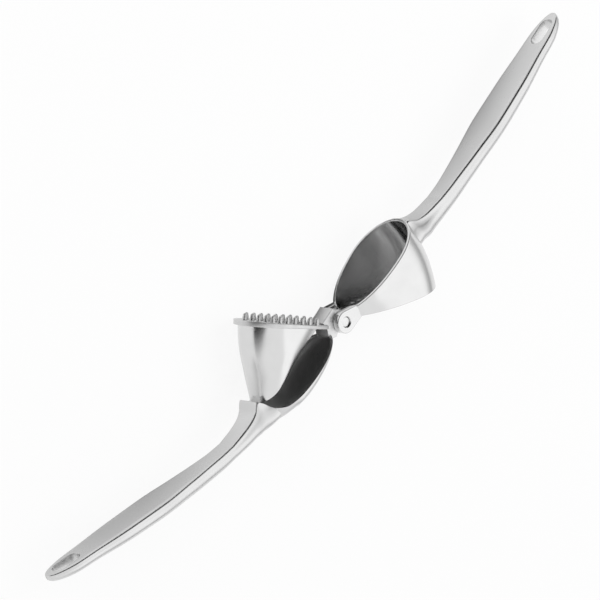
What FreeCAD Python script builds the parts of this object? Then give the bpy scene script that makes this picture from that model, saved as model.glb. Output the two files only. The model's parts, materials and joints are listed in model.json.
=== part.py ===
"""Hand garlic press in polished stainless steel.

A hopper half and a plunger half turn on one pin.  The hopper is a leaf-shaped cup whose walls
are surfaces of revolution about the hinge, so the leaf-shaped press plate sweeps along them with
an even clearance.  The plate carries tapered cleaning pins, and each pin goes through one hole
of the sieve when the press is shut.

Both halves are drawn in the shut position, with the hinge axis on Z at the origin and both
handles along +X.  The plunger half is then turned open by OPEN_ANGLE.  Millimetres and degrees.
"""
import FreeCAD
import Part

import math
import os

Vector = FreeCAD.Vector

# ---- driving dimensions: hinge -------------------------------------------------------------
OPEN_ANGLE = 160.0          # the plunger half's opening, measured from shut
PIN_RADIUS = 2.3
PIN_INTERFERENCE = 0.01     # the pin's press fit in the ears, on the radius
PIN_RECESS = 0.8            # depth of each pin end below the ear's outer face
PIN_CHAMFER = 0.3
LUG_BORE_CLEARANCE = 0.06   # radial running clearance of the lug on the pin
BOSS_RADIUS = 4.95          # round end of both ears and of the lug
LUG_HALF_WIDTH = 4.0
LUG_SIDE_CLEARANCE = 0.1
EAR_THICKNESS = 3.4
EAR_REACH = 9.6             # how far the ear webs run out to meet the cup
LUG_SWEEP_CLEARANCE = 0.45  # between the turning lug and the cup, radially

# ---- driving dimensions: hopper cup --------------------------------------------------------
CUP_NARROW_R = 6.2          # inner wall at the hinge end, from the hinge axis
CUP_WIDE_R = 36.1           # radius at which the leaf outline is widest
CUP_OUTER_R = 54.6          # inner wall at the handle end
CUP_HALF_WIDTH = 14.5       # inner half-width of the leaf
CUP_WALL = 1.4
MOUTH_ANGLE = 10.4          # plane of the rim
SIEVE_ANGLE = -24.9         # plane of the sieve's outer face
RIM_ROUNDING = 0.4

# ---- driving dimensions: sieve and cleaning pins -------------------------------------------
SIEVE_THICKNESS = 1.5
HOLE_RADIUS = 1.35
HOLE_PITCH = 4.2
FIRST_HOLE_R = 14.2         # first column of holes, from the hinge axis
HOLE_EDGE_MARGIN = 0.9      # least metal between a hole and the cup wall
STUD_BASE_RADIUS = 1.05
STUD_TIP_RADIUS = 0.62
STUD_HEIGHT = 3.4

# ---- driving dimensions: press plate and wedge ---------------------------------------------
PLATE_CLEARANCE = 0.4       # between the plate's edge and the cup wall
PLATE_THICKNESS = 1.5
SHUT_GAP = 0.85             # plate to sieve when shut
LIP_HEIGHT = 1.5            # raised lip along the plate's outer end, on the wedge side
LIP_WIDTH = 1.5
WEDGE_SIDE_INSET = 0.8      # wedge wall inside the plate's edge, at the sides
WEDGE_END_INSET = 2.4       # the same at the handle end
WEDGE_WALL = 1.2
WEDGE_EDGE = ((12.5, -5.6), (24.7, -1.6), (37.5, 5.3), (49.5, 16.2), (55.0, 21.0))

# ---- driving dimensions: bowl --------------------------------------------------------------
BOWL_NARROW_R = 6.9
BOWL_WIDE_R = 37.8
BOWL_OUTER_R = 52.0
BOWL_DEPTH = 5.5
BOWL_WALL = 1.4
BOWL_ANGLE = 22.6           # plane of the bowl's rim when shut
SHELF_ANGLE = 13.6          # plane of the shelf that carries the wedge's end
SHELF_INNER_R = 49.8

# ---- driving dimensions: handles -----------------------------------------------------------
TIP_RADIUS = 184.0          # hinge axis to handle tip, both handles
NECK_AT = 76.0              # weld between the cast head and the handle
HOPPER_SLOPE = 9.9          # direction of the hopper handle's flat face
HOPPER_FACE_OFFSET = -10.7  # distance of that flat from the hinge axis
PLUNGER_SLOPE = 7.9
PLUNGER_FACE_OFFSET = 17.9
NECK_HALF_WIDTH = 4.9
NECK_DEPTH = 9.0
GRIP_AT = 120.0             # widest part of the grip
GRIP_HALF_WIDTH = 7.9
GRIP_DEPTH = 8.9
GRIP_STEP = 9.0             # spacing of the sections that shape a grip
ROOT_STEP = 2.5             # spacing of the sections that shape a handle's root
SLOT_LENGTH = 14.0
SLOT_WIDTH = 6.5
SLOT_TIP_MARGIN = 4.6       # metal between the slot and the tip

# ---- values worked out from the driving dimensions -----------------------------------------
CUP_OUTSIDE_HALF = CUP_HALF_WIDTH + CUP_WALL
EAR_INNER = LUG_HALF_WIDTH + LUG_SIDE_CLEARANCE
EAR_OUTER = EAR_INNER + EAR_THICKNESS
PLATE_LOW = SIEVE_THICKNESS + SHUT_GAP
PLATE_HIGH = PLATE_LOW + PLATE_THICKNESS
FAR = 400.0                 # longer than anything in the model, for cutting tools


def polar(radius, degrees, z=0.0):
    """Point at a radius from the hinge axis and an angle from +X."""
    angle = math.radians(degrees)
    return Vector(radius * math.cos(angle), radius * math.sin(angle), z)


def leaf_half_width(radius, narrow_r, wide_r, outer_r, half_width):
    """Half-width of a leaf outline made of two half-ellipses that meet at its widest point."""
    if not narrow_r < radius < outer_r:
        return 0.0
    reach = wide_r - narrow_r if radius < wide_r else outer_r - wide_r
    share = (radius - wide_r) / reach
    return half_width * math.sqrt(1.0 - share * share)


def leaf_face(narrow_r, wide_r, outer_r, half_width):
    """Leaf-shaped face in the XZ plane: two half-ellipses that meet at the widest point."""
    halves = []
    for reach in (outer_r - wide_r, narrow_r - wide_r):
        half = Part.Arc(Vector(0, 0, 1), Vector(1, 0, 0), Vector(0, 0, -1)).toShape()
        matrix = FreeCAD.Matrix()
        matrix.scale(reach, 1.0, half_width)
        half = half.transformGeometry(matrix)
        half.translate(Vector(wide_r, 0, 0))
        halves.append(half)
    return Part.Face(Part.Wire(halves))


def cup_leaf(offset):
    """The cup's leaf face, grown outwards by offset from its inner wall."""
    return leaf_face(CUP_NARROW_R - offset, CUP_WIDE_R, CUP_OUTER_R + offset,
                     CUP_HALF_WIDTH + offset)


def swept(face, from_angle, to_angle):
    """Solid swept by a face of the XZ plane that turns about the hinge axis."""
    turned = face.copy()
    turned.rotate(Vector(0, 0, 0), Vector(0, 0, 1), from_angle)
    return turned.revolve(Vector(0, 0, 0), Vector(0, 0, 1), to_angle - from_angle)


def slab(low, high):
    """Wide slab parallel to the sieve, between two heights above the sieve's outer face."""
    block = Part.makeBox(FAR, high - low, FAR, Vector(0, low, -FAR / 2))
    block.rotate(Vector(0, 0, 0), Vector(0, 0, 1), SIEVE_ANGLE)
    return block


def prism(points, half_width):
    """Polygon in the XY plane, made solid to the same depth on both sides of it."""
    wire = Part.makePolygon([Vector(p.x, p.y, -half_width) for p in points + points[:1]])
    return Part.Face(wire).extrude(Vector(0, 0, 2 * half_width))


def cylinder(radius, low, high):
    """Cylinder on the hinge axis between two heights."""
    return Part.makeCylinder(radius, high - low, Vector(0, 0, low))


def single_solid(shape, name):
    """The one solid of a shape, and an error if a cut has left more or fewer."""
    shape = shape.removeSplitter()
    if len(shape.Solids) != 1:
        raise ValueError(f"{name} has {len(shape.Solids)} solids")
    return shape.Solids[0]


def monotone_slopes(xs, ys):
    """Slope at each point for a cubic through the points that never overshoots them."""
    rises = [(b - a) / (d - c) for a, b, c, d in zip(ys, ys[1:], xs, xs[1:])]
    inner = [2 * p * q / (p + q) if p * q > 0 else 0.0 for p, q in zip(rises, rises[1:])]
    return [rises[0]] + inner + [rises[-1]]


def blend(stations, step):
    """More stations between the given ones, about step apart along the first value."""
    us = [station[0] for station in stations]
    columns = [list(column) for column in zip(*stations)]
    slopes = [monotone_slopes(us, column) for column in columns]
    dense = []
    for index in range(len(us) - 1):
        span = us[index + 1] - us[index]
        parts = max(1, round(span / step))
        for part in range(parts):
            t = part / parts
            row = []
            for column, slope in zip(columns, slopes):
                row.append((1 + 2 * t) * (1 - t) ** 2 * column[index]
                           + t * (1 - t) ** 2 * span * slope[index]
                           + t * t * (3 - 2 * t) * column[index + 1]
                           + t * t * (t - 1) * span * slope[index + 1])
            dense.append(tuple(row))
    return dense + [tuple(stations[-1])]


# ---- handles -------------------------------------------------------------------------------
class HandleLine:
    """Frame of one handle: u runs along its flat face, w rises from the flat to the other
    handle, and the rounded back lies at negative w."""

    def __init__(self, slope, face_offset, inner_side):
        self.along = polar(1.0, slope)
        self.inwards = polar(inner_side, slope + 90)
        self.foot = polar(face_offset, slope + 90)
        self.tip = math.sqrt(TIP_RADIUS ** 2 - face_offset ** 2)

    def point(self, u, w, z):
        """Point of the model from the handle's own coordinates."""
        return self.foot + self.along * u + self.inwards * w + Vector(0, 0, z)

    def section(self, u, face_w, half_flat, half_belly, depth, belly_at):
        """D-shaped wire across the handle: a flat towards the other handle, a round back."""
        back = [(half_flat, 0.0), (half_belly, belly_at), (0.72 * half_belly, 0.55 + 0.42 * belly_at),
                (0.0, 1.0)]
        outline = [(-z, share) for z, share in back] + [(z, share) for z, share in back[-2::-1]]
        points = [self.point(u, face_w - share * depth, z) for z, share in outline]
        curve = Part.BSplineCurve()
        curve.interpolate(points)
        flat = Part.makeLine(points[-1], points[0])
        return Part.Wire([curve.toShape(), flat])

    def loft(self, stations, step):
        """Smooth solid through D-shaped sections, filled in about step apart."""
        wires = [self.section(*station) for station in blend(stations, step)]
        return Part.makeLoft(wires, True, False)


NECK_STATION = (NECK_AT, 0.9, NECK_HALF_WIDTH, NECK_HALF_WIDTH * 1.1, NECK_DEPTH, 0.35)


def handle_solid(line):
    """One handle from the weld at the neck to the rounded tip, with its hanging slot."""
    grip_end = line.tip - 1.5 * SLOT_LENGTH
    neck_end = NECK_AT + 8.0
    stations = [
        NECK_STATION,
        (neck_end, 0.1, NECK_HALF_WIDTH + 0.1, NECK_HALF_WIDTH * 1.13, NECK_DEPTH - 0.3, 0.35),
        ((neck_end + GRIP_AT) / 2, 0.0, (NECK_HALF_WIDTH + GRIP_HALF_WIDTH) / 2,
         (NECK_HALF_WIDTH + GRIP_HALF_WIDTH) / 2 + 0.5, GRIP_DEPTH - 0.1, 0.35),
        (GRIP_AT, 0.0, GRIP_HALF_WIDTH, GRIP_HALF_WIDTH + 0.5, GRIP_DEPTH, 0.33),
        ((GRIP_AT + grip_end) / 2, 0.0, GRIP_HALF_WIDTH - 0.1, GRIP_HALF_WIDTH + 0.35,
         GRIP_DEPTH - 0.6, 0.33),
        (grip_end, 0.0, GRIP_HALF_WIDTH - 1.3, GRIP_HALF_WIDTH - 0.9, GRIP_DEPTH - 2.2, 0.33),
    ]
    tip_length = line.tip - grip_end
    for share in (0.45, 0.72, 0.88, 0.96):
        taper = math.sqrt(1.0 - share ** 2.4)
        half = (GRIP_HALF_WIDTH - 1.3) * taper
        depth = 2.0 + (GRIP_DEPTH - 4.2) * taper
        stations.append((grip_end + share * tip_length, 0.0, half, half + 0.4, depth, 0.33))
    return line.loft(stations, GRIP_STEP).cut(hanging_slot(line)).Solids[0]


def hanging_slot(line):
    """Cutting tool for the oblong slot, square to the handle's flat face."""
    radius = SLOT_WIDTH / 2
    far_u = line.tip - SLOT_TIP_MARGIN - radius
    near_u = far_u - SLOT_LENGTH + SLOT_WIDTH
    corners = [line.point(near_u, FAR / 8, -radius), line.point(far_u, FAR / 8, -radius),
               line.point(far_u + radius, FAR / 8, 0), line.point(far_u, FAR / 8, radius),
               line.point(near_u, FAR / 8, radius), line.point(near_u - radius, FAR / 8, 0)]
    edges = [Part.makeLine(corners[0], corners[1]),
             Part.Arc(corners[1], corners[2], corners[3]).toShape(),
             Part.makeLine(corners[3], corners[4]),
             Part.Arc(corners[4], corners[5], corners[0]).toShape()]
    return Part.Face(Part.Wire(edges)).extrude(line.inwards * (-FAR / 4))


# ---- hopper half ---------------------------------------------------------------------------
def ear_pair():
    """Two hinge ears: round bosses with webs that run out to the cup's narrow end."""
    upper_turn = math.degrees(math.acos(BOSS_RADIUS / EAR_REACH))
    top_angle = MOUTH_ANGLE
    low_angle = SIEVE_ANGLE
    outline = [polar(BOSS_RADIUS, top_angle + upper_turn), polar(EAR_REACH, top_angle),
               polar(EAR_REACH, low_angle), polar(BOSS_RADIUS, low_angle - upper_turn)]
    ears = prism(outline, EAR_OUTER).fuse(cylinder(BOSS_RADIUS, -EAR_OUTER, EAR_OUTER))
    return ears.cut(cylinder(EAR_REACH + 1, -EAR_INNER, EAR_INNER))


def hopper_tang(line):
    """Root that flares from the handle's neck down the cup's end wall."""
    end_wall = CUP_OUTER_R + CUP_WALL
    rim_w = end_wall * math.sin(math.radians(MOUTH_ANGLE - HOPPER_SLOPE)) - HOPPER_FACE_OFFSET
    stations = [
        (end_wall - 7.0, rim_w - 0.4, NECK_HALF_WIDTH + 0.4, 11.5, rim_w + 7.0, 0.62),
        (end_wall - 0.5, rim_w - 0.8, NECK_HALF_WIDTH + 0.4, 9.6, rim_w + 7.4, 0.60),
        (end_wall + 2.2, rim_w - 3.6, NECK_HALF_WIDTH + 0.3, 8.6, rim_w + 4.8, 0.55),
        (end_wall + 5.0, 5.4, NECK_HALF_WIDTH + 0.1, 7.5, 13.9, 0.50),
        (end_wall + 10.0, 3.3, NECK_HALF_WIDTH, 6.4, 11.7, 0.42),
        NECK_STATION,
    ]
    return line.loft(stations, ROOT_STEP)


def hopper_cup(line):
    """Leaf-shaped cup with its rim, hinge ears and handle root in one piece."""
    ring = cup_leaf(CUP_WALL).cut(cup_leaf(0.0))
    shell = swept(ring.Faces[0], SIEVE_ANGLE, MOUTH_ANGLE)
    cavity = swept(cup_leaf(0.0), SIEVE_ANGLE - 12, MOUTH_ANGLE + 12)
    cup = shell.fuse([ear_pair().cut(cavity), hopper_tang(line).cut(cavity)])
    cup = cup.cut(cylinder(lug_sweep(), -EAR_INNER, EAR_INNER))
    cup = cup.cut(cylinder(PIN_RADIUS - PIN_INTERFERENCE, -FAR / 2, FAR / 2))
    return single_solid(cup, "hopper_cup")


def hole_places():
    """Distances (along the sieve, along the hinge axis) of the holes and of the studs."""
    places = []
    leaf = (CUP_NARROW_R, CUP_WIDE_R, CUP_OUTER_R, CUP_HALF_WIDTH)
    margin = HOLE_RADIUS + HOLE_EDGE_MARGIN
    columns = int((CUP_OUTER_R - FIRST_HOLE_R) / HOLE_PITCH) + 1
    rows = int(CUP_HALF_WIDTH / HOLE_PITCH)
    for column in range(columns):
        along = FIRST_HOLE_R + column * HOLE_PITCH
        room = min(leaf_half_width(along - margin, *leaf), leaf_half_width(along, *leaf),
                   leaf_half_width(along + margin, *leaf))
        for row in range(-rows, rows + 1):
            if abs(row) * HOLE_PITCH + margin * 0.9 <= room:
                places.append((along, row * HOLE_PITCH))
    return places


def sieve_point(along, height, z):
    """Point from the distance along the sieve, the height over its outer face, and Z."""
    angle = math.radians(SIEVE_ANGLE)
    return Vector(along * math.cos(angle) - height * math.sin(angle),
                  along * math.sin(angle) + height * math.cos(angle), z)


def sieve_plate():
    """Perforated floor that fills the cup's lower opening."""
    plug = swept(cup_leaf(0.0), SIEVE_ANGLE - 12, MOUTH_ANGLE)
    plate = plug.common(slab(0.0, SIEVE_THICKNESS))
    plate = plate.cut(cylinder(lug_sweep(), -FAR / 2, FAR / 2))
    upwards = sieve_point(0, 1, 0)
    drills = [Part.makeCylinder(HOLE_RADIUS, SIEVE_THICKNESS + 2, sieve_point(along, -1, z), upwards)
              for along, z in hole_places()]
    return single_solid(plate.cut(Part.makeCompound(drills)), "sieve_plate")


def hinge_pin():
    """Plain pin, pressed into both ears with its ends below their faces."""
    end = EAR_OUTER - PIN_RECESS
    pin = cylinder(PIN_RADIUS, -end, end)
    rims = [edge for edge in pin.Edges if edge.Closed]
    return pin.makeChamfer(PIN_CHAMFER, rims).Solids[0]


# ---- plunger half --------------------------------------------------------------------------
LUG_CORNERS = ((7.9, -67.0), (10.75, -17.4), (8.6, 4.0), (9.4, 21.0), (9.4, 34.0), (7.0, 50.0))


def lug_sweep():
    """Radius that the turning lug needs."""
    return max(radius for radius, _ in LUG_CORNERS) + LUG_SWEEP_CLEARANCE


def hinge_lug():
    """Solid lug that turns on the pin and carries the plate's and the bowl's narrow ends."""
    corners = [polar(radius, angle) for radius, angle in LUG_CORNERS]
    block = prism([Vector(0, 0, 0)] + corners, LUG_HALF_WIDTH)
    block = block.fuse(cylinder(BOSS_RADIUS, -LUG_HALF_WIDTH, LUG_HALF_WIDTH))
    bore = cylinder(PIN_RADIUS + LUG_BORE_CLEARANCE, -FAR / 2, FAR / 2)
    return single_solid(block.cut(bore), "hinge_lug")


def press_plate(lug):
    """Flat leaf that slides down the cup, with a raised lip along its outer end."""
    outline = swept(cup_leaf(-PLATE_CLEARANCE), SIEVE_ANGLE - 12, MOUTH_ANGLE)
    plate = outline.common(slab(PLATE_LOW, PLATE_HIGH))
    inner_edge = CUP_OUTER_R - PLATE_CLEARANCE - LIP_WIDTH
    lip = outline.common(slab(PLATE_LOW, PLATE_HIGH + LIP_HEIGHT))
    lip = lip.cut(swept(leaf_face(CUP_NARROW_R, CUP_WIDE_R, inner_edge, CUP_HALF_WIDTH),
                        SIEVE_ANGLE - 14, MOUTH_ANGLE + 2))
    keep = Part.makeBox(FAR, FAR, FAR, Vector(inner_edge - 4.5, -FAR / 2, -FAR / 2))
    keep.rotate(Vector(0, 0, 0), Vector(0, 0, 1), SIEVE_ANGLE)
    plate = plate.fuse(lip.common(keep)).cut(lug)
    return single_solid(plate, "press_plate")


def cleaning_pins():
    """Tapered, round-tipped studs under the press plate, one for each hole of the sieve."""
    straight = STUD_HEIGHT - STUD_TIP_RADIUS
    tip_turn = math.sin(math.pi / 4)
    profile = Part.Wire([
        Part.makeLine(Vector(0, 0, 0), Vector(STUD_BASE_RADIUS, 0, 0)),
        Part.makeLine(Vector(STUD_BASE_RADIUS, 0, 0), Vector(STUD_TIP_RADIUS, 0, straight)),
        Part.Arc(Vector(STUD_TIP_RADIUS, 0, straight),
                 Vector(STUD_TIP_RADIUS * tip_turn, 0, straight + STUD_TIP_RADIUS * tip_turn),
                 Vector(0, 0, STUD_HEIGHT)).toShape(),
        Part.makeLine(Vector(0, 0, STUD_HEIGHT), Vector(0, 0, 0)),
    ])
    stud = Part.Face(profile).revolve(Vector(0, 0, 0), Vector(0, 0, 1), 360)
    down = FreeCAD.Rotation(Vector(0, 0, 1), sieve_point(0, -1, 0))
    studs = []
    for along, z in hole_places():
        copy = stud.copy()
        copy.Placement = FreeCAD.Placement(sieve_point(along, PLATE_LOW, z), down)
        studs.append(copy)
    return Part.makeCompound(studs)


def plunger_wedge():
    """Thin wall behind the press plate, cut off along a slanted edge that faces the bowl."""
    narrow = CUP_NARROW_R + PLATE_CLEARANCE + WEDGE_SIDE_INSET
    outer = CUP_OUTER_R - PLATE_CLEARANCE - WEDGE_END_INSET
    half = CUP_HALF_WIDTH - PLATE_CLEARANCE - WEDGE_SIDE_INSET
    ring = leaf_face(narrow, CUP_WIDE_R, outer, half).cut(
        leaf_face(narrow + WEDGE_WALL, CUP_WIDE_R, outer - WEDGE_WALL, half - WEDGE_WALL))
    wall = swept(ring.Faces[0], SIEVE_ANGLE - 2, SHELF_ANGLE + 12)
    curve = Part.BSplineCurve()
    curve.interpolate([Vector(x, y, -FAR / 2) for x, y in WEDGE_EDGE])
    start, end = curve.StartPoint, curve.EndPoint
    below = [end, Vector(FAR, end.y, end.z), Vector(FAR, -FAR, end.z), Vector(start.x, -FAR, end.z),
             start]
    edges = [curve.toShape()] + [Part.makeLine(a, b) for a, b in zip(below, below[1:])]
    keep = Part.Face(Part.Wire(edges)).extrude(Vector(0, 0, FAR))
    wall = wall.common(keep).common(slab(PLATE_HIGH, FAR))
    shelf = Part.makeBox(FAR, FAR, 2 * FAR, Vector(SHELF_INNER_R - 3, 0, -FAR))
    shelf.rotate(Vector(0, 0, 0), Vector(0, 0, 1), SHELF_ANGLE)
    return wall, shelf


def dome_faces(reach, depth, half_width):
    """Curved face and flat rim face of half a dome: reach along X, depth along +Y."""
    quarter = Part.makeSphere(1.0, Vector(0, 0, 0), Vector(0, 1, 0), 0, 90, 180)
    box = quarter.BoundBox
    turn = math.degrees(math.atan2(box.Center.z, box.Center.x))
    quarter.rotate(Vector(0, 0, 0), Vector(0, 1, 0), turn if reach > 0 else turn + 180)
    matrix = FreeCAD.Matrix()
    matrix.scale(abs(reach), depth, half_width)
    quarter = quarter.transformGeometry(matrix)
    return [face for face in quarter.Faces if abs(face.CenterOfMass.x) > 0.001]


def bowl_dome(inset):
    """Solid spoon shape beyond the rim plane, shrunk by inset."""
    depth = BOWL_DEPTH - inset
    half_width = CUP_OUTSIDE_HALF - inset
    faces = dome_faces(BOWL_OUTER_R - BOWL_WIDE_R - inset, depth, half_width)
    faces += dome_faces(BOWL_NARROW_R - BOWL_WIDE_R + inset, depth, half_width)
    dome = Part.Solid(Part.Shell(faces))
    dome.translate(Vector(BOWL_WIDE_R, 0, 0))
    dome.rotate(Vector(0, 0, 0), Vector(0, 0, 1), BOWL_ANGLE)
    return dome


def plunger_tang(line):
    """Root of the plunger's handle: it rises out of the bowl's back and carries the shelf."""
    def shelf_w(u):
        return PLUNGER_FACE_OFFSET - u * math.tan(math.radians(SHELF_ANGLE - PLUNGER_SLOPE))

    shelf_end = BOWL_OUTER_R + 6.5
    stations = [(u, shelf_w(u), NECK_HALF_WIDTH + 0.9, belly, shelf_w(u) - back, 0.62)
                for u, belly, back in ((42.0, 12.2, 3.2), (47.0, 11.4, 1.0), (52.0, 10.0, -1.2),
                                       (shelf_end - 1.0, 8.2, -3.2))]
    stations += [
        (shelf_end + 1.2, shelf_w(shelf_end) - 3.6, NECK_HALF_WIDTH + 0.7, 7.4, 12.4, 0.52),
        (shelf_end + 4.5, 6.2, NECK_HALF_WIDTH + 0.4, 6.8, 10.9, 0.45),
        (shelf_end + 10.0, 3.3, NECK_HALF_WIDTH + 0.1, 6.0, 9.5, 0.40),
        NECK_STATION,
    ]
    return line.loft(stations, ROOT_STEP)


def plunger_bowl(line, lug):
    """Spoon-shaped bowl with the handle's root."""
    dome = bowl_dome(0.0)
    hollow = bowl_dome(BOWL_WALL)
    above_rim = Part.makeBox(FAR, FAR, FAR, Vector(0, -FAR, -FAR / 2))
    above_rim.rotate(Vector(0, 0, 0), Vector(0, 0, 1), BOWL_ANGLE)
    inside = cylinder(SHELF_INNER_R, -FAR / 2, FAR / 2).common(above_rim).fuse(hollow)
    tang = plunger_tang(line)
    bowl = dome.fuse(tang).cut(inside).cut(lug)
    return bowl


def build():
    """All sub-parts by node name, in the model's own frame."""
    hopper_line = HandleLine(HOPPER_SLOPE, HOPPER_FACE_OFFSET, 1)
    plunger_line = HandleLine(PLUNGER_SLOPE, PLUNGER_FACE_OFFSET, -1)
    lug = hinge_lug()
    bowl = single_solid(plunger_bowl(plunger_line, lug), "plunger_bowl")
    wall, _ = plunger_wedge()
    wedge = single_solid(wall.cut(bowl), "plunger_wedge")
    fixed = {
        "hopper_cup": hopper_cup(hopper_line),
        "sieve_plate": sieve_plate(),
        "hopper_handle": handle_solid(hopper_line),
        "hinge_pin": hinge_pin(),
    }
    turning = {
        "hinge_lug": lug,
        "plunger_bowl": bowl,
        "plunger_handle": handle_solid(plunger_line),
        "plunger_wedge": wedge,
        "press_plate": press_plate(lug),
        "cleaning_pins": cleaning_pins(),
    }
    for shape in turning.values():
        shape.rotate(Vector(0, 0, 0), Vector(0, 0, 1), OPEN_ANGLE)
    return {**fixed, **turning}


def stand_on_ground(parts):
    """Move everything so that the open press lies on Z = 0, centred over the origin."""
    box = FreeCAD.BoundBox()
    for shape in parts.values():
        box.add(shape.BoundBox)
    shift = Vector(-box.Center.x, -box.Center.y, CUP_OUTSIDE_HALF)
    for shape in parts.values():
        shape.translate(shift)
    print(f"hinge axis at x {shift.x:.4f} y {shift.y:.4f} z {shift.z:.4f}")


def main():
    """Write one STEP file per sub-part."""
    os.makedirs("parts", exist_ok=True)
    parts = build()
    stand_on_ground(parts)
    for name, shape in parts.items():
        box = shape.BoundBox
        print(f"{name:16s} solids {len(shape.Solids):3d} valid {shape.isValid()} "
              f"volume {shape.Volume:9.1f}  x {box.XMin:7.2f} {box.XMax:7.2f}  "
              f"y {box.YMin:7.2f} {box.YMax:7.2f}  z {box.ZMin:7.2f} {box.ZMax:7.2f}")
        shape.exportStep(f"parts/{name}.step")


main()
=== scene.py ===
"""Dressed model of a hand garlic press in polished stainless steel.

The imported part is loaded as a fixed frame, and each sub-assembly is rebuilt around it in smooth
meshes: the hopper half with its leaf-shaped cup, ears, sieve and handle, and the plunger half
with its bowl, wedge, press plate, cleaning pins, hinge lug and handle.  Both halves are worked
out in the shut position, in millimetres, with the hinge axis on Z through the origin and both
handles along +X.  HingeFrame then opens the plunger half and turns millimetres into metres.
"""
import json
import logging
import math
from dataclasses import dataclass, field
from enum import Enum
from typing import Callable, Iterable, Optional, Sequence

import bmesh
import bpy
from mathutils import Matrix, Vector


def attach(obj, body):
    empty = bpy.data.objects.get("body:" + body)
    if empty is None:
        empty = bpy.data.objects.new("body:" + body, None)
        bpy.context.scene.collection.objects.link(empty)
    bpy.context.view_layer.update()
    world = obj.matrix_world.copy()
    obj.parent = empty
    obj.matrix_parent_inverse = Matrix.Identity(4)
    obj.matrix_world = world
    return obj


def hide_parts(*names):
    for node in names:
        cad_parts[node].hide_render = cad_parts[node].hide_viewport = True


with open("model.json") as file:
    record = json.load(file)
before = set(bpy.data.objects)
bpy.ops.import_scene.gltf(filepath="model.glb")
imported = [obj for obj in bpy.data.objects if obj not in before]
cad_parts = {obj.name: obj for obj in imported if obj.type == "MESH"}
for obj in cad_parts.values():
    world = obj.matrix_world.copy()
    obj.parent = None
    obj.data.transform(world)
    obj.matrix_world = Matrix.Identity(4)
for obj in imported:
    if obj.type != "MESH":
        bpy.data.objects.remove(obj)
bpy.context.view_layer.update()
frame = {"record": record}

log = logging.getLogger("garlic_press")

MM = 0.001

Ring = list[Vector]
Station = tuple[float, ...]


# ---- hinge frame ---------------------------------------------------------------------------
class Half(Enum):
    """The two halves of the press, by the name of the body each one rides on."""

    HOPPER = "hopper_half"
    PLUNGER = "plunger_half"


@dataclass(frozen=True)
class HingeFrame:
    """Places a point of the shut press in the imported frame, with the plunger half open."""

    axis: Vector
    opening: float

    @classmethod
    def from_record(cls) -> "HingeFrame":
        """The hinge's place and opening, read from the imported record."""
        joint = frame["record"]["behaviour"]["joints"][0]
        return cls(Vector(joint["pos_m"]), math.radians(-joint["range_deg"][0]))

    def place(self, half: Half, point: Vector) -> Vector:
        """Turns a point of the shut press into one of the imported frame.

        Args:
            half: The half that the point belongs to.
            point: Millimetres from the hinge axis, with the press shut.

        Returns:
            The point in metres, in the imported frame.
        """
        turn = self.opening if half is Half.PLUNGER else 0.0
        return self.axis + Matrix.Rotation(turn, 3, "Z") @ (point * MM)


HINGE = HingeFrame.from_record()


# ---- plane geometry ------------------------------------------------------------------------
def polar(radius: float, degrees: float, z: float = 0.0) -> Vector:
    """Point at a radius from the hinge axis and an angle from +X."""
    angle = math.radians(degrees)
    return Vector((radius * math.cos(angle), radius * math.sin(angle), z))


def spread(low: float, high: float, count: int) -> list[float]:
    """Evenly spaced values from low to high, both included."""
    return [low + (high - low) * step / (count - 1) for step in range(count)]


def smooth_step(share: float) -> float:
    """Eased share from 0 to 1, held at both ends."""
    held = min(1.0, max(0.0, share))
    return held * held * (3.0 - 2.0 * held)


def monotone_slopes(xs: Sequence[float], ys: Sequence[float]) -> list[float]:
    """Slope at each point for a cubic through the points that never overshoots them."""
    rises = [(b - a) / (d - c) for a, b, c, d in zip(ys, ys[1:], xs, xs[1:])]
    inner = [2 * p * q / (p + q) if p * q > 0 else 0.0 for p, q in zip(rises, rises[1:])]
    return [rises[0]] + inner + [rises[-1]]


def blend(stations: Sequence[Station], step: float) -> list[Station]:
    """Fills in stations between the given ones.

    Args:
        stations: Rows of values, ordered by their first value.
        step: Spacing wanted along the first value.

    Returns:
        The rows with more of them in between, about step apart.
    """
    us = [station[0] for station in stations]
    columns = [list(column) for column in zip(*stations)]
    slopes = [monotone_slopes(us, column) for column in columns]
    dense: list[Station] = []
    for index in range(len(us) - 1):
        span = us[index + 1] - us[index]
        parts = max(1, round(span / step))
        for part in range(parts):
            t = part / parts
            weights = ((1 + 2 * t) * (1 - t) ** 2, t * (1 - t) ** 2 * span,
                       t * t * (3 - 2 * t), t * t * (t - 1) * span)
            dense.append(tuple(
                weights[0] * column[index] + weights[1] * slope[index]
                + weights[2] * column[index + 1] + weights[3] * slope[index + 1]
                for column, slope in zip(columns, slopes)))
    return dense + [tuple(stations[-1])]


@dataclass(frozen=True)
class Leaf:
    """Leaf outline in the plane of the hinge axis: two half-ellipses, joined where widest."""

    narrow: float
    wide: float
    outer: float
    half: float

    def grown(self, offset: float) -> "Leaf":
        """The same leaf with its outline moved outwards."""
        return Leaf(self.narrow - offset, self.wide, self.outer + offset, self.half + offset)

    def at(self, turn: float) -> tuple[float, float]:
        """Radius and height of the outline at a turn in radians, 0 at the handle's end."""
        reach = self.outer - self.wide if math.cos(turn) > 0 else self.wide - self.narrow
        return self.wide + reach * math.cos(turn), self.half * math.sin(turn)

    def half_width(self, radius: float) -> float:
        """Half-width of the leaf at a radius, or 0 outside it.

        Args:
            radius: Distance from the hinge axis.

        Returns:
            Half the width there.
        """
        if not self.narrow < radius < self.outer:
            return 0.0
        reach = self.wide - self.narrow if radius < self.wide else self.outer - self.wide
        return self.half * math.sqrt(1.0 - ((radius - self.wide) / reach) ** 2)

    def turn_at(self, height: float) -> float:
        """Turn at which the outline's narrow end has risen to a height."""
        return math.pi - math.asin(height / self.half)


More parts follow.
